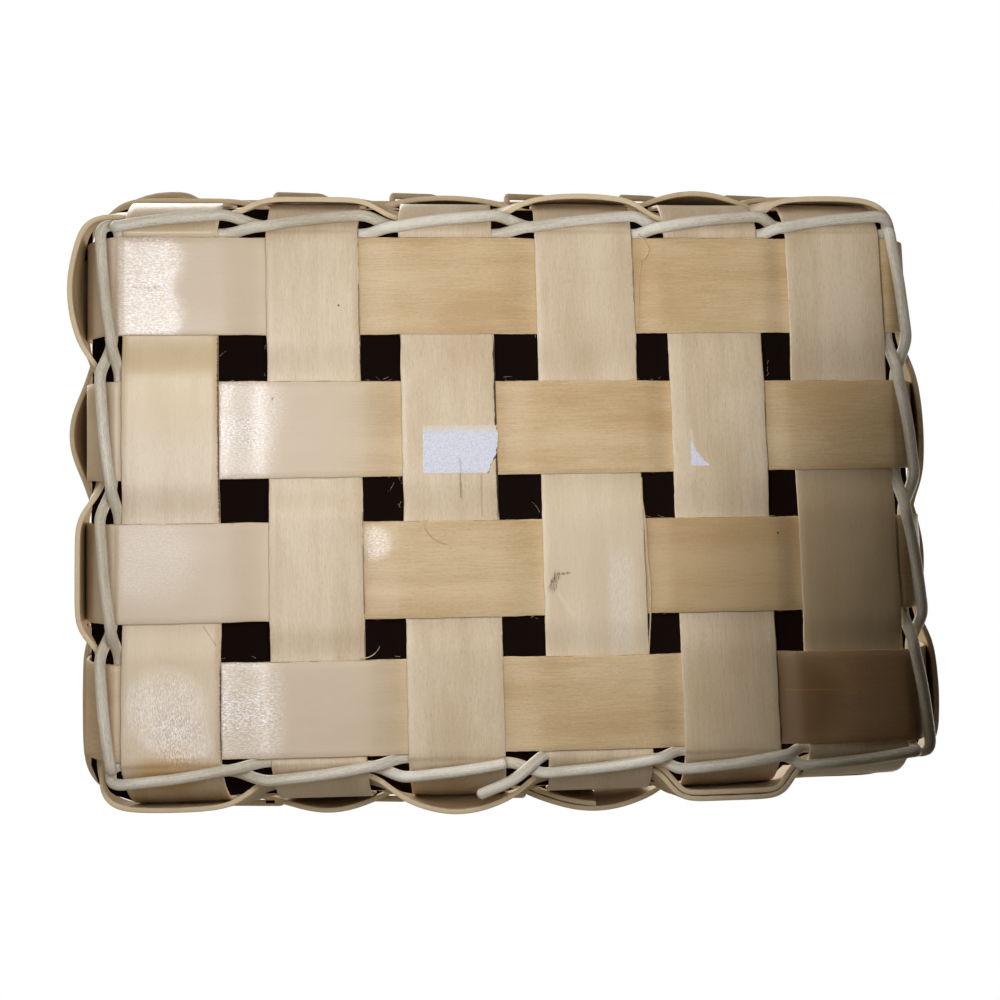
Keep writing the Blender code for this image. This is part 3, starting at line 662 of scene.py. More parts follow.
# Base reeds
# Two round strands of pale rattan reed, twined round the foot: each passes outside one stake and
# inside the next. The first one's cut end lies loose on the back.
REED_DIAMETER = 3.0
REED_OUTSIDE, REED_INSIDE, CORNER_LEADS = (1.6, 5.1), (6.8, 2.4), (12.0, 8.8)
TAIL_STAKE, TAIL_PASTS, TAIL_OUTS, TAIL_RISES = 12, (-1, -0.4), (7.9, 11.0), (-1.6, -0.6)
TAIL_DIVE_AHEAD, TAIL_DIVE_DOWN, TAIL_STEPS, BRIDGE_STEPS = 7, 9, 10, 14
STAKES = 2 * (len(CROSS_MIDDLES) + len(LONG_MIDDLES))


def stake(number):
    """The side that a stake stands on, its middle there and half its width, from the front left round."""
    number %= STAKES
    for side in range(4):
        middles = CROSS_MIDDLES if side in (FRONT, BACK) else LONG_MIDDLES
        if number < len(middles):
            n = number if side in (FRONT, RIGHT) else len(middles) - 1 - number
            shares = (CROSS_WIDTH_SHARES if side in (FRONT, BACK) else LONG_WIDTH_SHARES)[n]
            return side, middles[n], SPLINT_WIDTH * shares[0 if side in (FRONT, LEFT) else 1] / 2
        number -= len(middles)


def beside(side, across, out, height):
    """A point on one side, at a distance outside its fold."""
    points = (
        (across, -FOLD_Y - out, height),
        (FOLD_X + out, across, height),
        (across, FOLD_Y + out, height),
        (-FOLD_X - out, across, height),
    )
    return Vector(points[side])


def heading(side):
    return Vector(((1, 0, 0), (0, 1, 0), (-1, 0, 0), (0, -1, 0))[side])


def strand_point(strand, number, past):
    """A strand's point beside a stake, past its middle by a share of its half width."""
    side, middle, half = stake(number)
    outside = (number + strand) % 2 == 1
    seat = SPLINT_THICKNESS / 2 + CLEARANCE + REED_DIAMETER / 2
    off = seat if outside else -seat
    first, last = REED_OUTSIDE if outside else REED_INSIDE
    out, up, slope = WALLS[side].along(first + (last - first) * (past + 1) / 2)
    across = middle + (half + CLEARANCE) * past * (1 if side in (FRONT, RIGHT) else -1)
    return beside(side, across, out + off * math.sin(slope), BASE_MIDDLE + up - off * math.cos(slope))


def bridge(start, start_lead, end, end_lead, count):
    """Points between two others on a curve that leaves and arrives in the directions of its leads."""
    points = []
    for n in range(1, count):
        share = n / count
        left = 1 - share
        point = start * (left * left * (1 + 2 * share)) + end * (share * share * (3 - 2 * share))
        points.append(point + start_lead * (share * left * left) - end_lead * (share * share * left))
    return points


def strand_line(strand, first, last):
    """A twined strand from beside one stake to beside another."""
    points = []
    for number in range(first, last + 1):
        points += [strand_point(strand, number, past) for past in (-1, -0.5, 0, 0.5, 1)]
        if number < last:
            sides = stake(number)[0], stake(number + 1)[0]
            start, end = points[-1], strand_point(strand, number + 1, -1)
            turns = sides[0] != sides[1]
            lead = CORNER_LEADS[(number + strand + 1) % 2] if turns else (end - start).length
            points += bridge(start, heading(sides[0]) * lead, end, heading(sides[1]) * lead, BRIDGE_STEPS)
    return points


def strand_tail(start):
    """The first strand's end, coming out of its last gap and lying loose under the next stake."""
    side, middle, half = stake(TAIL_STAKE + 1)
    forward = 1 if side in (FRONT, RIGHT) else -1
    edge, end = (
        beside(side, middle + half * past * forward, out, BASE_MIDDLE + rise)
        for past, out, rise in zip(TAIL_PASTS, TAIL_OUTS, TAIL_RISES)
    )
    turn = (end - edge).normalized() * (edge - start).length
    dive = heading(side) * TAIL_DIVE_AHEAD - Vector((0, 0, TAIL_DIVE_DOWN))
    return bridge(start, dive, edge, turn, TAIL_STEPS) + [edge, end]


def reed_finish(name, pale=(232, 228, 219), deep=(186, 175, 154)):
    return wood(name, pale, deep, (196, 178, 148), fleck=0.35, sheen=0.5, sparkle=0.5)


RING_STEP, UNEVEN = 0.8, 0.035


def tube(name, path, radius, seed, look, nodes, sides=14, smoothing=0):
    """A round strand along a path, with rounded ends."""
    line = eased_line(filled([np.array(skewed(point)) for point in path], RING_STEP), smoothing)
    along, ahead = lengths_along(line)
    ahead /= np.linalg.norm(ahead, axis=1)[:, None]
    first = np.cross(ahead[0], (0.3, 0.2, 1))
    frames = []
    for way in ahead:
        first = first - way * first.dot(way)
        first /= np.linalg.norm(first)
        frames.append((first, np.cross(way, first)))
    frames = np.array(frames)
    angles = np.arange(sides) * 2 * math.pi / sides
    ends = np.minimum(along, along[-1] - along)
    width = radius * np.sqrt(np.clip(1 - np.clip(1 - ends / (radius * 0.5), 0, 1) ** 2, 0.3, 1))
    bumps = 1 + UNEVEN * drift(along[:, None] / 18, np.cos(angles) * 1.2, seed)
    bumps += UNEVEN * 0.5 * drift(along[:, None] / 40, np.sin(angles) * 4, seed + 3)
    ring = np.cos(angles)[:, None] * frames[:, None, 0] + np.sin(angles)[:, None] * frames[:, None, 1]
    points = line[:, None] + ring * (width[:, None] * bumps)[..., None]
    grain = np.stack(np.broadcast_arrays(along[:, None], angles * radius, seed), -1)
    rim = np.stack(np.broadcast_arrays(9, ends[:, None], angles * 0), -1)
    marks = {"grain": grain, "rim": rim, "spot": points}
    return keep(name, points.reshape(-1, 3), loop_faces(len(line), sides), marks, look, nodes)


reed_look = reed_finish("pale_reed")
line = strand_line(0, TAIL_STAKE + 1, TAIL_STAKE + STAKES)
line += strand_tail(line[-1])
tube("base_reed_1_wood", line, REED_DIAMETER / 2, 31.0, reed_look, ["base_reed_1"], smoothing=4)
line = strand_line(1, 1, STAKES + 1)[2:-4]
tube("base_reed_2_wood", line, REED_DIAMETER / 2, 47.0, reed_look, ["base_reed_2"], smoothing=4)


# Side weavers
# Three flat strips go round the walls, in front of one stake and behind the next, each lapping
# over its own start. Their lower edges bow out a little in front of some stakes.
BOWS = (2.0, 2.0, 0.6)
BOW_SHARES = (0, 0, 0.6, 0.6, 1.5, 0.35, 0.1, 0.4, 0.9, 0.4, 0, 0, 1.8, 1.7, 1.7, 0.3, 0.1, 0, 2.4, 1.3)
CROSSING_SHARE, STAKE_STEPS, EASINGS = 0.25, 24, 20
RING_CORNER, RING_CORNER_RISE = 1.5, 0.8


class Ring:
    """A level line round the basket, from the front left corner towards +X and on round."""

    def __init__(self, outs):
        self.corner = RING_CORNER + RING_CORNER_RISE * sum(outs) / len(outs)
        low_x, high_x = -FOLD_X - outs[LEFT], FOLD_X + outs[RIGHT]
        low_y, high_y = -FOLD_Y - outs[FRONT], FOLD_Y + outs[BACK]
        inner_x = low_x + self.corner, high_x - self.corner
        inner_y = low_y + self.corner, high_y - self.corner
        starts = (inner_x[0], low_y), (high_x, inner_y[0]), (inner_x[1], high_y), (low_x, inner_y[1])
        self.begins = [Vector(start) for start in starts]
        self.runs = [inner_x[1] - inner_x[0], inner_y[1] - inner_y[0]] * 2
        self.bend = self.corner * math.pi / 2
        self.length = sum(self.runs) + 4 * self.bend

    def place(self, along, offset):
        """The point at a distance along the ring, moved outwards by the offset."""
        along %= self.length
        side = 0
        while along > self.runs[side] + self.bend:
            along -= self.runs[side] + self.bend
            side += 1
        turn = side * math.pi / 2
        forward = Vector((math.cos(turn), math.sin(turn)))
        outward = Vector((math.sin(turn), -math.cos(turn)))
        if along <= self.runs[side]:
            return self.begins[side] + forward * along + outward * offset
        middle = self.begins[side] + forward * self.runs[side] - outward * self.corner
        turned = (along - self.runs[side]) / self.corner
        return middle + (outward * math.cos(turned) + forward * math.sin(turned)) * (self.corner + offset)

    def along_part(self, part):
        """Distance along the ring to a part, where even parts are straight runs and odd ones corners."""
        whole = math.floor(part)
        lengths = [length for run in self.runs for length in (run, self.bend)]
        rounds, inner = divmod(whole, len(lengths))
        return rounds * self.length + sum(lengths[:inner]) + lengths[inner] * (part - whole)

    def along_at(self, side, across):
        """Distance along the ring to a place on a side, given by its X or its Y."""
        forward = 1 if side in (FRONT, RIGHT) else -1
        return sum(self.runs[:side]) + side * self.bend + (across - self.begins[side][side % 2]) * forward


def ring_at(height):
    """The ring through the middle of the stakes at a height."""
    return Ring([wall.at_height(height)[0] for wall in WALLS])


def along_stakes(ring, height, step):
    """Distance along a ring at a step, where whole steps are the middles of stakes."""
    number = math.floor(step + CROSSING_SHARE)
    past = step - number
    places, halves = [], []
    for n in (number, number + 1):
        side, middle, half = stake(n)
        places.append(ring.along_at(side, fanned(middle, height)) + ring.length * (n // STAKES))
        halves.append(half + CLEARANCE)
    if past <= CROSSING_SHARE:
        return places[0] + halves[0] * past / CROSSING_SHARE
    share = (past - CROSSING_SHARE) / (1 - 2 * CROSSING_SHARE)
    return places[0] + halves[0] + (places[1] - places[0] - sum(halves)) * share


def weaver_edge(height, row, first, lap, lap_side, bow):
    """One edge of a weaver, as points from its starting end round to its finishing end."""
    layer = WEAVER_THICKNESS + CLEARANCE
    touch = SPLINT_THICKNESS / 2 + CLEARANCE + WEAVER_THICKNESS / 2
    ring = ring_at(height)

    def seat(number):
        side = stake(number)[0]
        out, slope = WALLS[side].at_height(height)
        outside = (number + row) % 2 == 1
        offset = -touch / math.sin(slope)
        if outside:
            offset = STANDS[side] + height * math.tan(WALL_LEAN) + touch / math.cos(WALL_LEAN) - out
        if (number - first) % STAKES <= lap and outside == (lap_side < 0):
            offset += layer if outside else -layer
        return offset

    rows = []
    for n in range(STAKE_STEPS * (STAKES + lap) + 1):
        step = first + n / STAKE_STEPS
        number = math.floor(step + CROSSING_SHARE)
        share = (step - number - CROSSING_SHARE) / (1 - 2 * CROSSING_SHARE)
        offset = seat(number) + (seat(number + 1) - seat(number)) * smooth(share)
        past = abs(step - number) / CROSSING_SHARE
        if (number + row) % 2 == 1 and past < 1:
            offset += bow * BOW_SHARES[number % STAKES] * (1 - past * past)
        rows.append(Vector((along_stakes(ring, height, step), offset, step)))
    points = []
    for n, (along, offset, step) in enumerate(rows):
        ahead = (rows[min(n + 1, len(rows) - 1)] - rows[max(n - 1, 0)]).xy.normalized()
        lapped = (step - first - STAKES + 1 - CROSSING_SHARE) / (1 - 2 * CROSSING_SHARE)
        moved = lap_side * layer * smooth(lapped)
        x, y = ring.place(along - ahead.y * moved, offset + ahead.x * moved)
        points.append((x, y, height))
    return points


# The stake each weaver starts at, how many stakes its ends share, and the side its end laps on.
WEAVER_LAYS = ((10, 2, -1), (12, 1, 1), (3, 2, -1))
WEAVER_TINTS = (204, 182, 148), (180, 152, 116), (222, 204, 172)
for row, lay in enumerate(WEAVER_LAYS):
    low = WEAVER_START + row * WEAVER_RISE
    high = low + WEAVER_WIDTH * math.cos(WALL_LEAN)
    look = wood(f"weaver_wood_{row + 1}", *WEAVER_TINTS, sheen=0.5)
    node = f"side_weaver_{row + 1}"
    lows, highs = weaver_edge(low, row, *lay, BOWS[row]), weaver_edge(high, row, *lay, 0)
    seed = 5.3 * (row + 2)
    ribbon(f"{node}_wood", lows, highs, WEAVER_THICKNESS, seed, look, [node], "weaver", eased=EASINGS)


# Rim hoops
# Two flat hoops of thicker wood hold the ends of the stakes between them. Each hoop's ends are
# shaved to one thickness where they lap.
HOOP_THICKNESS, HOOP_LAP, HOOP_TIP = 2.0, 40.0, 0.15
LAP_STEPS, ROUND_PARTS, CORNER_STEPS = 4, 8, 16
HOOP_TINTS = (206, 180, 142), (176, 144, 104), (220, 198, 162)


def parts_round(start):
    """Parts of a ring from a start on a straight run once round, close together at the corners."""
    first = math.ceil(start)
    corners = range(first, first + ROUND_PARTS, 2)
    return [corner + n / CORNER_STEPS for corner in corners for n in range(CORNER_STEPS + 1)]


def hoop(name, side, start, seed):
    seat = SPLINT_THICKNESS / 2 + CLEARANCE + HOOP_THICKNESS / 2
    rings = ring_at(HOOP_LOW), ring_at(HOOP_TOP)
    lap = HOOP_LAP / rings[0].runs[start // 2]
    start += (1 - lap) / 2
    root = 1 - CLEARANCE / HOOP_THICKNESS - HOOP_TIP
    shaved = [n / LAP_STEPS for n in range(LAP_STEPS + 1)]
    begin = [(start + lap * share, HOOP_TIP + (root - HOOP_TIP) * share, -1) for share in shaved]
    end = [(part + ROUND_PARTS, HOOP_TIP + root - share, 1) for part, share, _ in begin]
    past = lap / LAP_STEPS
    whole = [start + lap + past, *parts_round(start), start + ROUND_PARTS - past]
    lows, highs, shares = [], [], []
    for part, share, layer in begin + [(part, 1, 0) for part in whole] + end:
        out = side * (seat + layer * (1 - share) / 2 * HOOP_THICKNESS) / math.cos(WALL_LEAN)
        lows.append((*rings[0].place(rings[0].along_part(part), out), HOOP_LOW))
        highs.append((*rings[1].place(rings[1].along_part(part), out), HOOP_TOP))
        shares.append(share)
    look = wood(f"{name}_wood", *HOOP_TINTS, sheen=0.5)
    return ribbon(f"{name}_wood", lows, highs, HOOP_THICKNESS, seed, look, [name], "hoop", shares, spans=8)


outer = hoop("outer_rim_hoop", 1, 2 * FRONT, 61.0)
hoop("inner_rim_hoop", -1, 2 * BACK, 67.0)


# Rim filler and lashing
# A round reed covers the hoops' top edges and the ends of the stakes. A thinner reed is wound over
# the rim and under the hoops, slanting from each gap between stakes to the next.
FILLER_DIAMETER, FILLER_START, LASHING_BEND = 3.0, 1 / 4, 1.0
RISE_STEPS, ARCH_STEPS = 6, 14


def filler():
    height = HOOP_TOP + CLEARANCE + FILLER_DIAMETER / 2
    ring = ring_at(height)
    start = 2 * BACK + FILLER_START
    butt = CLEARANCE / ring.runs[BACK]
    parts = [start + butt, *parts_round(start), start + ROUND_PARTS - butt]
    path = [(*ring.place(ring.along_part(part), 0), height) for part in parts]
    look = reed_finish("filler_reed")
    tube("rim_filler_wood", path, FILLER_DIAMETER / 2, 71.0, look, ["rim_filler"])


def lashing():
    free = 2 * CLEARANCE + LASHING_DIAMETER / 2
    half = (SPLINT_THICKNESS / 2 + CLEARANCE + HOOP_THICKNESS + free) / math.cos(WALL_LEAN)
    low, arch = HOOP_LOW - free, CLEARANCE + FILLER_DIAMETER + free
    rise = HOOP_TOP - low - LASHING_BEND
    side_share = rise / (2 * rise + math.pi * half)
    side = [
        (half, low + LASHING_BEND + rise * n / RISE_STEPS, side_share * n / RISE_STEPS)
        for n in range(RISE_STEPS)
    ]
    turn = [(LASHING_BEND - half, low, 0), (half - LASHING_BEND, low, 0)] + side
    for n in range(ARCH_STEPS + 1):
        angle = math.pi * n / ARCH_STEPS
        share = side_share + (1 - 2 * side_share) * n / ARCH_STEPS
        turn.append((half * math.cos(angle), HOOP_TOP + arch * math.sin(angle), share))
    turn += [(-out, height, 1 - share) for out, height, share in side[::-1]]
    ring = ring_at(HOOP_LOW)
    path = []
    for number in range(STAKES):
        here, there = (along_stakes(ring, HOOP_LOW, number + share) for share in (1 / 2, 3 / 2))
        for out, height, share in turn:
            leaned = out + (height - HOOP_LOW) * math.tan(WALL_LEAN)
            path.append((*ring.place(here + (there - here) * share, leaned), height))
    look = reed_finish("lashing_reed", (224, 210, 184), (196, 174, 140))
    tube("rim_lashing_wood", path[:-1], LASHING_DIAMETER / 2, 83.0, look, ["rim_lashing"], 10, 1)


filler()
lashing()


# Label remnant
# What is left of a blank paper label on the third cross splint: crisp on the left and below,
# fuzzy on top and torn at the right. A smaller scrap of its paper lies on the fifth.
LABEL_LEFT, LABEL_TOP, LABEL_LOW = 424, 424.5, 472
TEAR = ((0.0, 497), (0.25, 499), (0.45, 498), (0.62, 496.5), (0.78, 492.5), (0.95, 489.5), (1.0, 488))
STAIN = (461, 458), (462, 473)
SCRAP_LEFT, SCRAP_RIGHT, SCRAP_WIDENING, SCRAP_POWER = 691.5, 694, 17, 1.3
SCRAP_TOP, SCRAP_SLANT, SCRAP_LOW = 431, 16, 466.5
PAPER_THICKNESS, PAPER_GAP, PAPER_FLUFF, BELOW = 0.07, 0.02, 0.03, 5
PULP_DARK, PULP_LIGHT, SPECK_TINT = (206, 208, 224), (232, 235, 246), (168, 166, 180)
WORN_TINT, STAIN_TINT = (221, 206, 184), (150, 140, 142)


def underside(piece):
    mesh = piece.data
    points, faces = [v.co / MM for v in mesh.vertices], [tuple(p.vertices) for p in mesh.polygons]
    return BVHTree.FromPolygons(points, faces)


def paper_finish():
    finish, start, shader = new_material("label_paper")
    place = start.mark("spot")
    pulp = place.noise((2.6, 1.9, 1.0), 3.0, 0.7)
    specks = place.noise((3.4, 3.0, 1.0), 1.0, 0.5).step(0.6, 0.7)
    shade = pulp.step(0.3, 0.7).mix(colour(*PULP_DARK), colour(*PULP_LIGHT))
    shade = (specks * 0.6).mix(shade, colour(*SPECK_TINT))
    worn = 1 - (start.mark("rim").part(0) + (place.noise((2.4, 0.8, 1.0), 4.0, 0.7) - 0.5) * 5).step(0.1, 2.6)
    shade = (worn * 0.85).mix(shade, colour(*WORN_TINT))
    stain = place.line(spot(*STAIN[0]), spot(*STAIN[1]), 0.5, (pulp - 0.5) * 0.8)
    shade = (stain * 0.3).mix(shade, colour(*STAIN_TINT))
    plug(shade, shader, "Base Color")
    shader.inputs["Roughness"].default_value = 0.8
    bump = start.node("ShaderNodeBump", {}, {"Strength": 1.0, "Distance": MM, "Height": pulp * 0.06})
    plug(bump, shader, "Normal")
    return finish


def sheet(name, surface, left, right, top, bottom, columns, rows, seed):
    """A scrap of paper lying on an underside, between four edges given as functions of a share."""
    tree = underside(surface)
    grid, worn = [], []
    for r in range(rows + 1):
        t = r / rows
        for c in range(columns + 1):
            s = c / columns
            x = left(t) + (right(t) - left(t)) * s
            y = top(s) + (bottom(s) - top(s)) * t
            hit = tree.ray_cast(Vector((x, y, -BELOW)), Vector((0, 0, 1)))[0]
            grid.append((x, y, hit.z - PAPER_GAP if hit else BASE_LIFT))
            worn.append(t * (bottom(s) - top(s)))
    count = len(grid)
    fluff = [PAPER_FLUFF * noise.noise((x * 2, y * 2, seed)) for x, y, _ in grid]
    lower = [(x, y, z - PAPER_THICKNESS - more) for (x, y, z), more in zip(grid, fluff)]
    wide = columns + 1
    faces = []
    for r in range(rows):
        for c in range(columns):
            a, b = r * wide + c, r * wide + c + 1
            faces.append((a, b, b + wide, a + wide))
            faces.append((a + count, a + wide + count, b + wide + count, b + count))
    edge = list(range(columns)) + [r * wide + columns for r in range(rows)]
    edge += [rows * wide + c for c in range(columns, 0, -1)] + [r * wide for r in range(rows, 0, -1)]
    for a, b in zip(edge, edge[1:] + edge[:1]):
        faces.append((b, a, a + count, b + count))
    points = np.array(grid + lower)
    marks = {"spot": points, "rim": [(value, 0, 0) for value in worn * 2]}
    return keep(name, points, faces, marks, paper_look)


def fuzz(seed, share, size, count=26):
    """Unevenness of a torn edge at a share of it, in millimetres."""
    coarse, fine = (noise.noise((share * number, 0.5, seed)) for number in (count, count * 3))
    return size * (coarse + 0.6 * fine)


paper_look = paper_finish()
x_left, y_low = spot(LABEL_LEFT, LABEL_LOW)


def torn(t):
    px = float(np.interp(t, *zip(*TEAR)))
    return spot(px, 0)[0] + fuzz(3.0, t, 0.35, 12)


sheet(
    "label_remnant",
    made["cross_splint_3_wood"],
    lambda t: x_left + fuzz(1.0, t, 0.05),
    torn,
    lambda s: spot(0, LABEL_TOP)[1] + fuzz(2.0, s, 0.4, 30),
    lambda s: y_low + fuzz(4.0, s, 0.05),
    90,
    56,
    5.0,
)
sheet(
    "paper_scrap",
    made["cross_splint_5_wood"],
    lambda t: spot(SCRAP_LEFT, 0)[0] + fuzz(6.0, t, 0.3, 9),
    lambda t: spot(SCRAP_RIGHT + SCRAP_WIDENING * t ** SCRAP_POWER, 0)[0] + fuzz(7.0, t, 0.3, 9),
    lambda s: spot(0, SCRAP_TOP + SCRAP_SLANT * s)[1] + fuzz(8.0, s, 0.4, 9),
    lambda s: spot(0, SCRAP_LOW)[1] + fuzz(9.0, s, 0.15, 9),
    24,
    40,
    6.0,
)


# Loose fibres
# Hair-thin fibres stand off the cut edges of the splints, and thin slivers have split away along
# the fourth cross splint's right edge.
FIBRE_SIDES, FIBRE_TAPER = 5, 0.7


def strands(name, paths, look):
    """Thin round fibres, each given as a path with its thickness, gathered in one mesh."""
    points, faces, grains = [], [], []
    for seed, (path, thickness) in enumerate(paths):
        line = [Vector(point) for point in path]
        base = len(points)
        for n, point in enumerate(line):
            way = (line[min(n + 1, len(line) - 1)] - line[max(n - 1, 0)]).normalized()
            first = way.orthogonal().normalized()
            second = way.cross(first)
            thin = thickness / 2 * (1 - FIBRE_TAPER * (n / (len(line) - 1)) ** 2)
            for k in range(FIBRE_SIDES):
                angle = k * 2 * math.pi / FIBRE_SIDES
                points.append(point + (first * math.cos(angle) + second * math.sin(angle)) * thin)
                grains.append((n * 0.5, k * 0.1, seed))
        faces += [tuple(base + corner for corner in face) for face in loop_faces(len(line), FIBRE_SIDES)]
    marks = {"grain": grains, "rim": [(9, 9, 0)] * len(points), "spot": points}
    return keep(name, points, faces, marks, look)


HAIR_STEPS = 12


def hair(px, py, height, turn, length, curl, rise, thickness=0.06):
    """A fibre from a place in the reference picture, heading at an angle and curling as it goes."""
    x, y = spot(px, py)
    path = []
    for n in range(HAIR_STEPS + 1):
        share = n / HAIR_STEPS
        angle = turn + curl * share
        path.append((x, y, height + rise * share * share))
        x += math.cos(angle) * length / HAIR_STEPS
        y += math.sin(angle) * length / HAIR_STEPS
    return path, thickness


rng = random.Random(7)
NEAR, FAR = BASE_LIFT, BASE_LIFT + 1.3
# The single fibres that show, each by its place in pixels, height, heading, length, curl and rise.
HAIRS = (
    (540, 512, NEAR + 0.4, -1.9, 3.6, -0.7, -0.6),
    (395, 481, NEAR + 0.4, 1.9, 3.0, 0.6, -0.5),
    (222, 354, NEAR + 0.5, -0.9, 2.2, 0.5, -0.5),
    (776, 608, FAR - 0.2, 0.35, 6.5, -0.6, -0.4),
    (790, 609, FAR - 0.2, 2.6, 5.0, 0.9, -0.5),
    (800, 608, FAR - 0.2, 0.9, 3.2, 1.2, -0.6),
    (219, 381, NEAR + 0.4, 0.2, 1.8, -1.1, -0.4),
    (300, 471, NEAR + 0.5, 1.2, 1.6, 1.0, -0.3),
    (620, 330, FAR, 1.2, 3.0, 0.8, -0.4),
    (505, 377, FAR, -0.4, 2.4, 0.8, -0.4),
    (360, 656, NEAR + 0.2, 0.1, 6.6, -1.4, -0.5, 0.26),
)
# The splints' edges that show, each by its place across and its two ends in pixels.
CROSS_EDGES = (
    (218.5, 334, 520), (267.5, 238, 380), (361.5, 236, 378), (401.5, 336, 516), (497.5, 336, 516),
    (537.5, 240, 378), (671.5, 336, 512), (769, 336, 512), (804, 476, 640),
)
LONG_EDGES = (
    (331.5, 130, 266), (378.5, 222, 400), (472, 222, 400), (379.5, 500, 672), (472, 500, 672),
    (521, 366, 540), (617, 366, 548), (517, 648, 802), (612, 650, 804), (658, 504, 684), (655, 222, 404),
)
UPRIGHT, LEVEL = (-math.pi / 2, math.pi / 2), (0, math.pi)
EDGE_OFF = 0.3


def edge_hairs(edges, count, turns, longest):
    """Short fibres at random places along the edges, heading roughly one way or the other along them."""
    found = []
    for across, first, last in edges:
        for _ in range(count):
            along = rng.uniform(first, last)
            side = rng.choice((-1, 1))
            turn = rng.choice(turns) + side * rng.uniform(0.1, 0.5)
            beside_edge = across + side * EDGE_OFF
            place = (beside_edge, along) if turns == UPRIGHT else (along, beside_edge)
            height, length = NEAR + rng.uniform(0, 0.5), rng.uniform(0.6, longest)
            curl, rise = rng.uniform(-1, 1), -rng.uniform(0, 0.25)
            found.append(hair(*place, height, turn, length, curl, rise, rng.uniform(0.04, 0.08)))
    return found


hairs = [hair(*values) for values in HAIRS]
hairs += edge_hairs(CROSS_EDGES, 8, UPRIGHT, 2.0) + edge_hairs(LONG_EDGES, 9, LEVEL, 2.2)
FIBRE_TINTS = (226, 206, 170), (196, 166, 124), (214, 190, 150)
fibre_look = wood("loose_fibre", *FIBRE_TINTS, fleck=0.0, sheen=0.6, sparkle=0)
strands("loose_fibres", hairs, fibre_look)


def sliver(stops, height, thickness):
    """A split-off strand through places in the reference picture."""
    xs, ys = zip(*[spot(*stop[:2]) for stop in stops])
    rises = [stop[2] for stop in stops]
    ts = np.arange(len(stops))
    fine = np.linspace(0, len(stops) - 1, 10 * len(stops))
    return [
        (float(np.interp(t, ts, xs)), float(np.interp(t, ts, ys)), height + float(np.interp(t, ts, rises)))
        for t in fine
    ], thickness


SLIVERS = (
    ((
        (641.5, 478, 0.5), (642, 500, 0.2), (645.5, 524, 0.1), (647.5, 560, 0), (650.5, 590, 0.1),
        (650, 620, 0.2), (648.5, 654, 0.5),
    ), NEAR + 0.35, 0.75),
    ((
        (640, 236, 0.2), (646, 241, -0.2), (651, 250, -0.4), (649, 257, -0.3), (643, 262, 0),
        (641.5, 275, 0.2), (641, 300, 0.3), (639.5, 332, 0.3),
    ), NEAR + 0.5, 0.5),
)
SLIVER_TINTS = (226, 208, 176), (204, 178, 140), (214, 190, 150)
slivers = [sliver(*values) for values in SLIVERS]
sliver_look = wood("split_sliver", *SLIVER_TINTS, fleck=0.2, sheen=0.55, sparkle=0.3)
strands("split_slivers", slivers, sliver_look)


# Setting down
# The fine meshes are made round the base's middle, and the record's frame has its origin under the
# middle of the whole, so they all move together to where the CAD solids stand.
corners = np.array([v.co[:] for v in outer.data.vertices])
hoop_low, hoop_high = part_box("outer_rim_hoop")
shift = Vector((
    (hoop_low.x + hoop_high.x - corners[:, 0].min() - corners[:, 0].max()) / 2,
    (hoop_low.y + hoop_high.y - corners[:, 1].min() - corners[:, 1].max()) / 2,
    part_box("cross_splint_1")[0].z - BASE_LIFT * MM,
))
for piece in made.values():
    for vertex in piece.data.vertices:
        vertex.co += shift


# Stage, lamps and camera
# A pale floor shows only from above. Dark cards inside the basket, which only a camera below sees,
# are painted shade: they stand for the shaded inside that shows through the holes. The lamps below
# stand in for a studio's: a soft fill, glare on the left, and black cards that shade the lower right.
FLOOR_SIZE, FLOOR_DROP, CARD_STEPS, CARD_HEIGHT, CARD_SPREAD = 4000, 0.4, 120, 24, 1.04
INNER_DARKS = ((7.2, 5), (13, 2), (24, 1), (45, -1), (70, -1.5), (98, -2))
# Each corner card, painted shade over a small gap at a corner, by its place in pixels and its width and depth
# in millimetres.
CORNER_DARKS = ((97, 237, 3, 8), (92, 622, 1.8, 3), (277, 797, 2.5, 0.9), (901, 621, 1.8, 3))
ALL_BUT_CAMERA = ("diffuse", "glossy", "transmission", "shadow")


def hide(item, rays):
    for ray in rays:
        setattr(item, f"visible_{ray}", False)


def staged(name, size, place, look, rays):
    """A square level card, left out of the named kinds of light."""
    bpy.ops.mesh.primitive_plane_add(size=size * MM, location=[part * MM for part in place])
    plane = bpy.context.object
    plane.name = name
    plane.data.materials.append(look)
    hide(plane, rays)
    return plane


def outlined(name, corners, look, rays):
    """A level card from its corners in metres, left out of the named kinds of light."""
    mesh = bpy.data.meshes.new(name)
    mesh.from_pydata(corners, [], [tuple(range(len(corners)))])
    mesh.materials.append(look)
    card = added(name, mesh)
    hide(card, rays)


def one_sided(name, shade, seen_from_above):
    finish, start, shader = new_material(name)
    shader.inputs["Base Color"].default_value = shade
    shader.inputs["Roughness"].default_value = 0.9
    shader.inputs["Specular IOR Level"].default_value = 0.0
    back = start.node("ShaderNodeNewGeometry", {}, {}, "Backfacing")
    if not seen_from_above:
        back = 1 - back
    clear = start.node("ShaderNodeBsdfTransparent", {}, {"Color": (1, 1, 1, 1)})
    both = start.node("ShaderNodeMixShader", {}, {0: back, 1: Wire(start.tree, shader.outputs[0]), 2: clear})
    plug(both, start.tree.nodes["Material Output"], "Surface")
    return finish


floor_look = one_sided("floor_paint", colour(150, 149, 147), True)
floor_shader = floor_look.node_tree.nodes["Principled BSDF"]
floor_shader.inputs["Emission Color"].default_value = colour(205, 204, 202)
floor_shader.inputs["Emission Strength"].default_value = 1.0
staged("floor", FLOOR_SIZE, (0, 0, -FLOOR_DROP), floor_look, ("shadow", "diffuse", "glossy"))

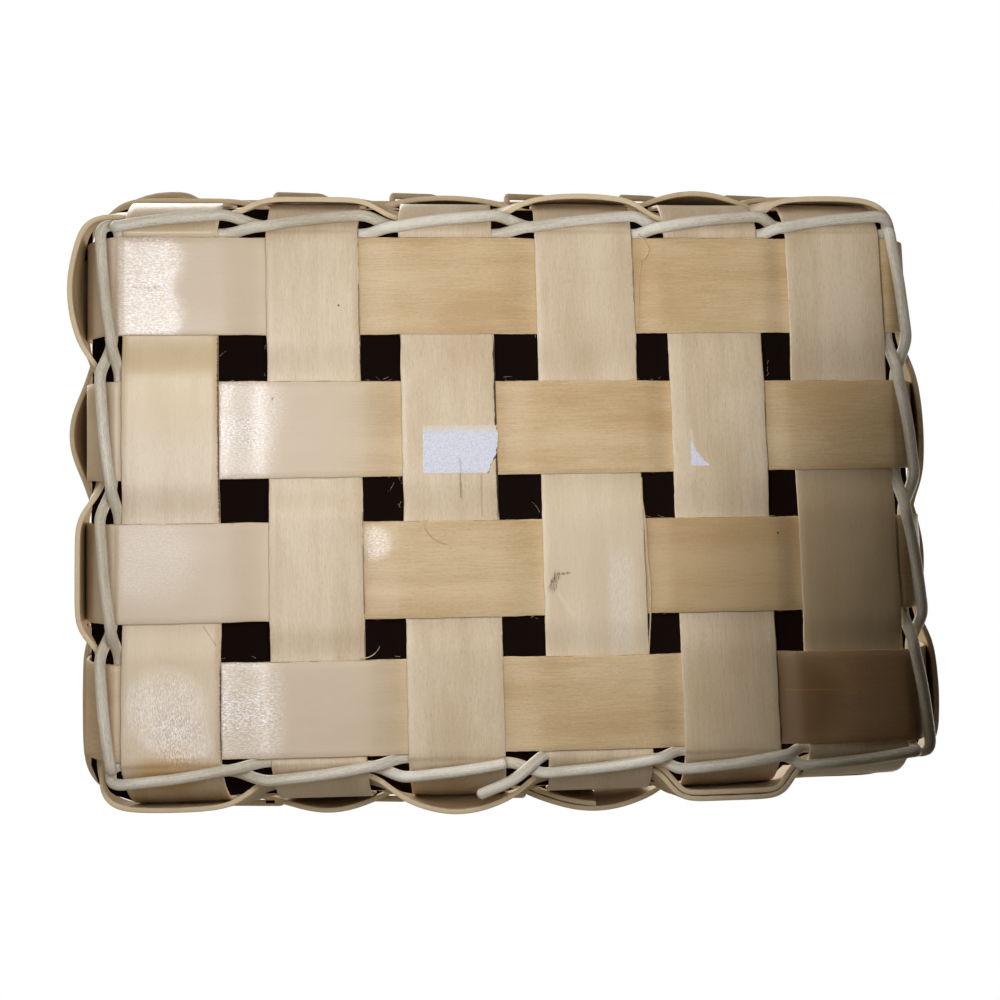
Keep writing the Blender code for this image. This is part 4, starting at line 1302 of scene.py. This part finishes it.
# Painted shade: the dark cards stand for the shaded inside of the basket.
dark = one_sided("inner_dark", colour(22, 15, 13), False)
for height, inset in INNER_DARKS:
    ring = ring_at(height)
    places = [ring.place(ring.length * n / CARD_STEPS, -inset) for n in range(CARD_STEPS)]
    corners = [skewed((*place, height)) * MM + shift for place in places]
    outlined(f"inner_dark_{height}", corners, dark, ALL_BUT_CAMERA)
for px, py, wide, deep in CORNER_DARKS:
    x, y = spot(px, py)
    place = (x * CARD_SPREAD, y * CARD_SPREAD, CARD_HEIGHT)
    staged("corner_dark", 1, place, dark, ALL_BUT_CAMERA).scale = (wide, deep, 1)

world = bpy.data.worlds.new("studio")
world.use_nodes = True
bpy.context.scene.world = world
sky = Wire(world.node_tree)
background = world.node_tree.nodes["Background"]
seen = sky.node("ShaderNodeLightPath", {}, {}, "Is Camera Ray")
plug(seen.mix((0.27, 0.24, 0.19, 1), (1, 1, 1, 1)), background, "Color")


def lamp(name, place, target, size, power, unseen=(), shade=(1, 1, 1), spread=180):
    """A square soft lamp, in millimetres, watts and degrees, left out of the named kinds of light."""
    data = bpy.data.lights.new(name, "AREA")
    data.size, data.energy, data.color, data.spread = size * MM, power, shade, math.radians(spread)
    light = added(name, data)
    light.location = Vector(place) * MM
    light.rotation_euler = (Vector(target) * MM - light.location).to_track_quat("-Z", "Y").to_euler()
    hide(light, ("camera", *unseen))


# Each lamp's place, target, size and power, what it leaves out, its colour and how far it spreads.
SPREAD = 48
LAMPS = (
    ("fill_below", (0, -30, -230), (0, -20, 0), 90, 0.397, ["glossy"], (0.965, 0.98, 1)),
    ("glare_below", (-146, -50, -300), (-88, -32, 0), 44, 0.035, ["diffuse"], (0.95, 0.97, 1), SPREAD),
    ("low_glare_below", (-133, 103, -300), (-82, 60, 0), 50, 0.0122, ["diffuse"], (0.9, 0.94, 1), SPREAD),
    ("veil_below", (-220, 0, -300), (-110, 0, 0), 200, 0.5, ["diffuse"], (0.78, 0.88, 1)),
    ("side_below", (-520, -600, -110), (-40, -40, 40), 400, 1.4, ["glossy"]),
    ("soft_above", (-500, -500, 900), (0, 0, 40), 700, 11),
    ("soft_above_right", (700, 300, 900), (0, 0, 40), 600, 4),
)
for values in LAMPS:
    lamp(*values)

# Black cards that shade the lower right from the lamps, each by its height and its corners.
FLAGS = (
    (-90, ((34, 600), (41, 22), (49, -2), (51, -23), (70, -43), (110, -75), (600, -100), (600, 600))),
    (-24, ((84, 150), (84, 60), (100, 50), (180, 44), (180, 150))),
)
flag_look, _, flag_shader = new_material("flag")
flag_shader.inputs["Base Color"].default_value = (0, 0, 0, 1)
flag_shader.inputs["Specular IOR Level"].default_value = 0
for height, corners in FLAGS:
    outlined("flag", [Vector((x, y, height)) * MM for x, y in corners], flag_look, ["camera"])

# How wide the picture is at the base, how far away the camera is, and how it is set.
VIEW_WIDTH, CAMERA_AWAY, SENSOR = 265, 450, 36
CAMERA_ASIDE, CAMERA_SHIFT, CAMERA_TURN = (-5.6, -4.8), (0.0137, -0.0222), 0.4
camera = added("camera", bpy.data.cameras.new("camera"))
bpy.context.scene.camera = camera
camera.data.lens = SENSOR * CAMERA_AWAY / VIEW_WIDTH
camera.data.shift_x, camera.data.shift_y = CAMERA_SHIFT
camera.data.clip_start, camera.data.clip_end = 0.01, 20
camera.location = shift + Vector((*CAMERA_ASIDE, BASE_MIDDLE - CAMERA_AWAY)) * MM
camera.rotation_euler = (math.pi, 0, math.radians(CAMERA_TURN))
bpy.context.scene.view_settings.view_transform = "Standard"
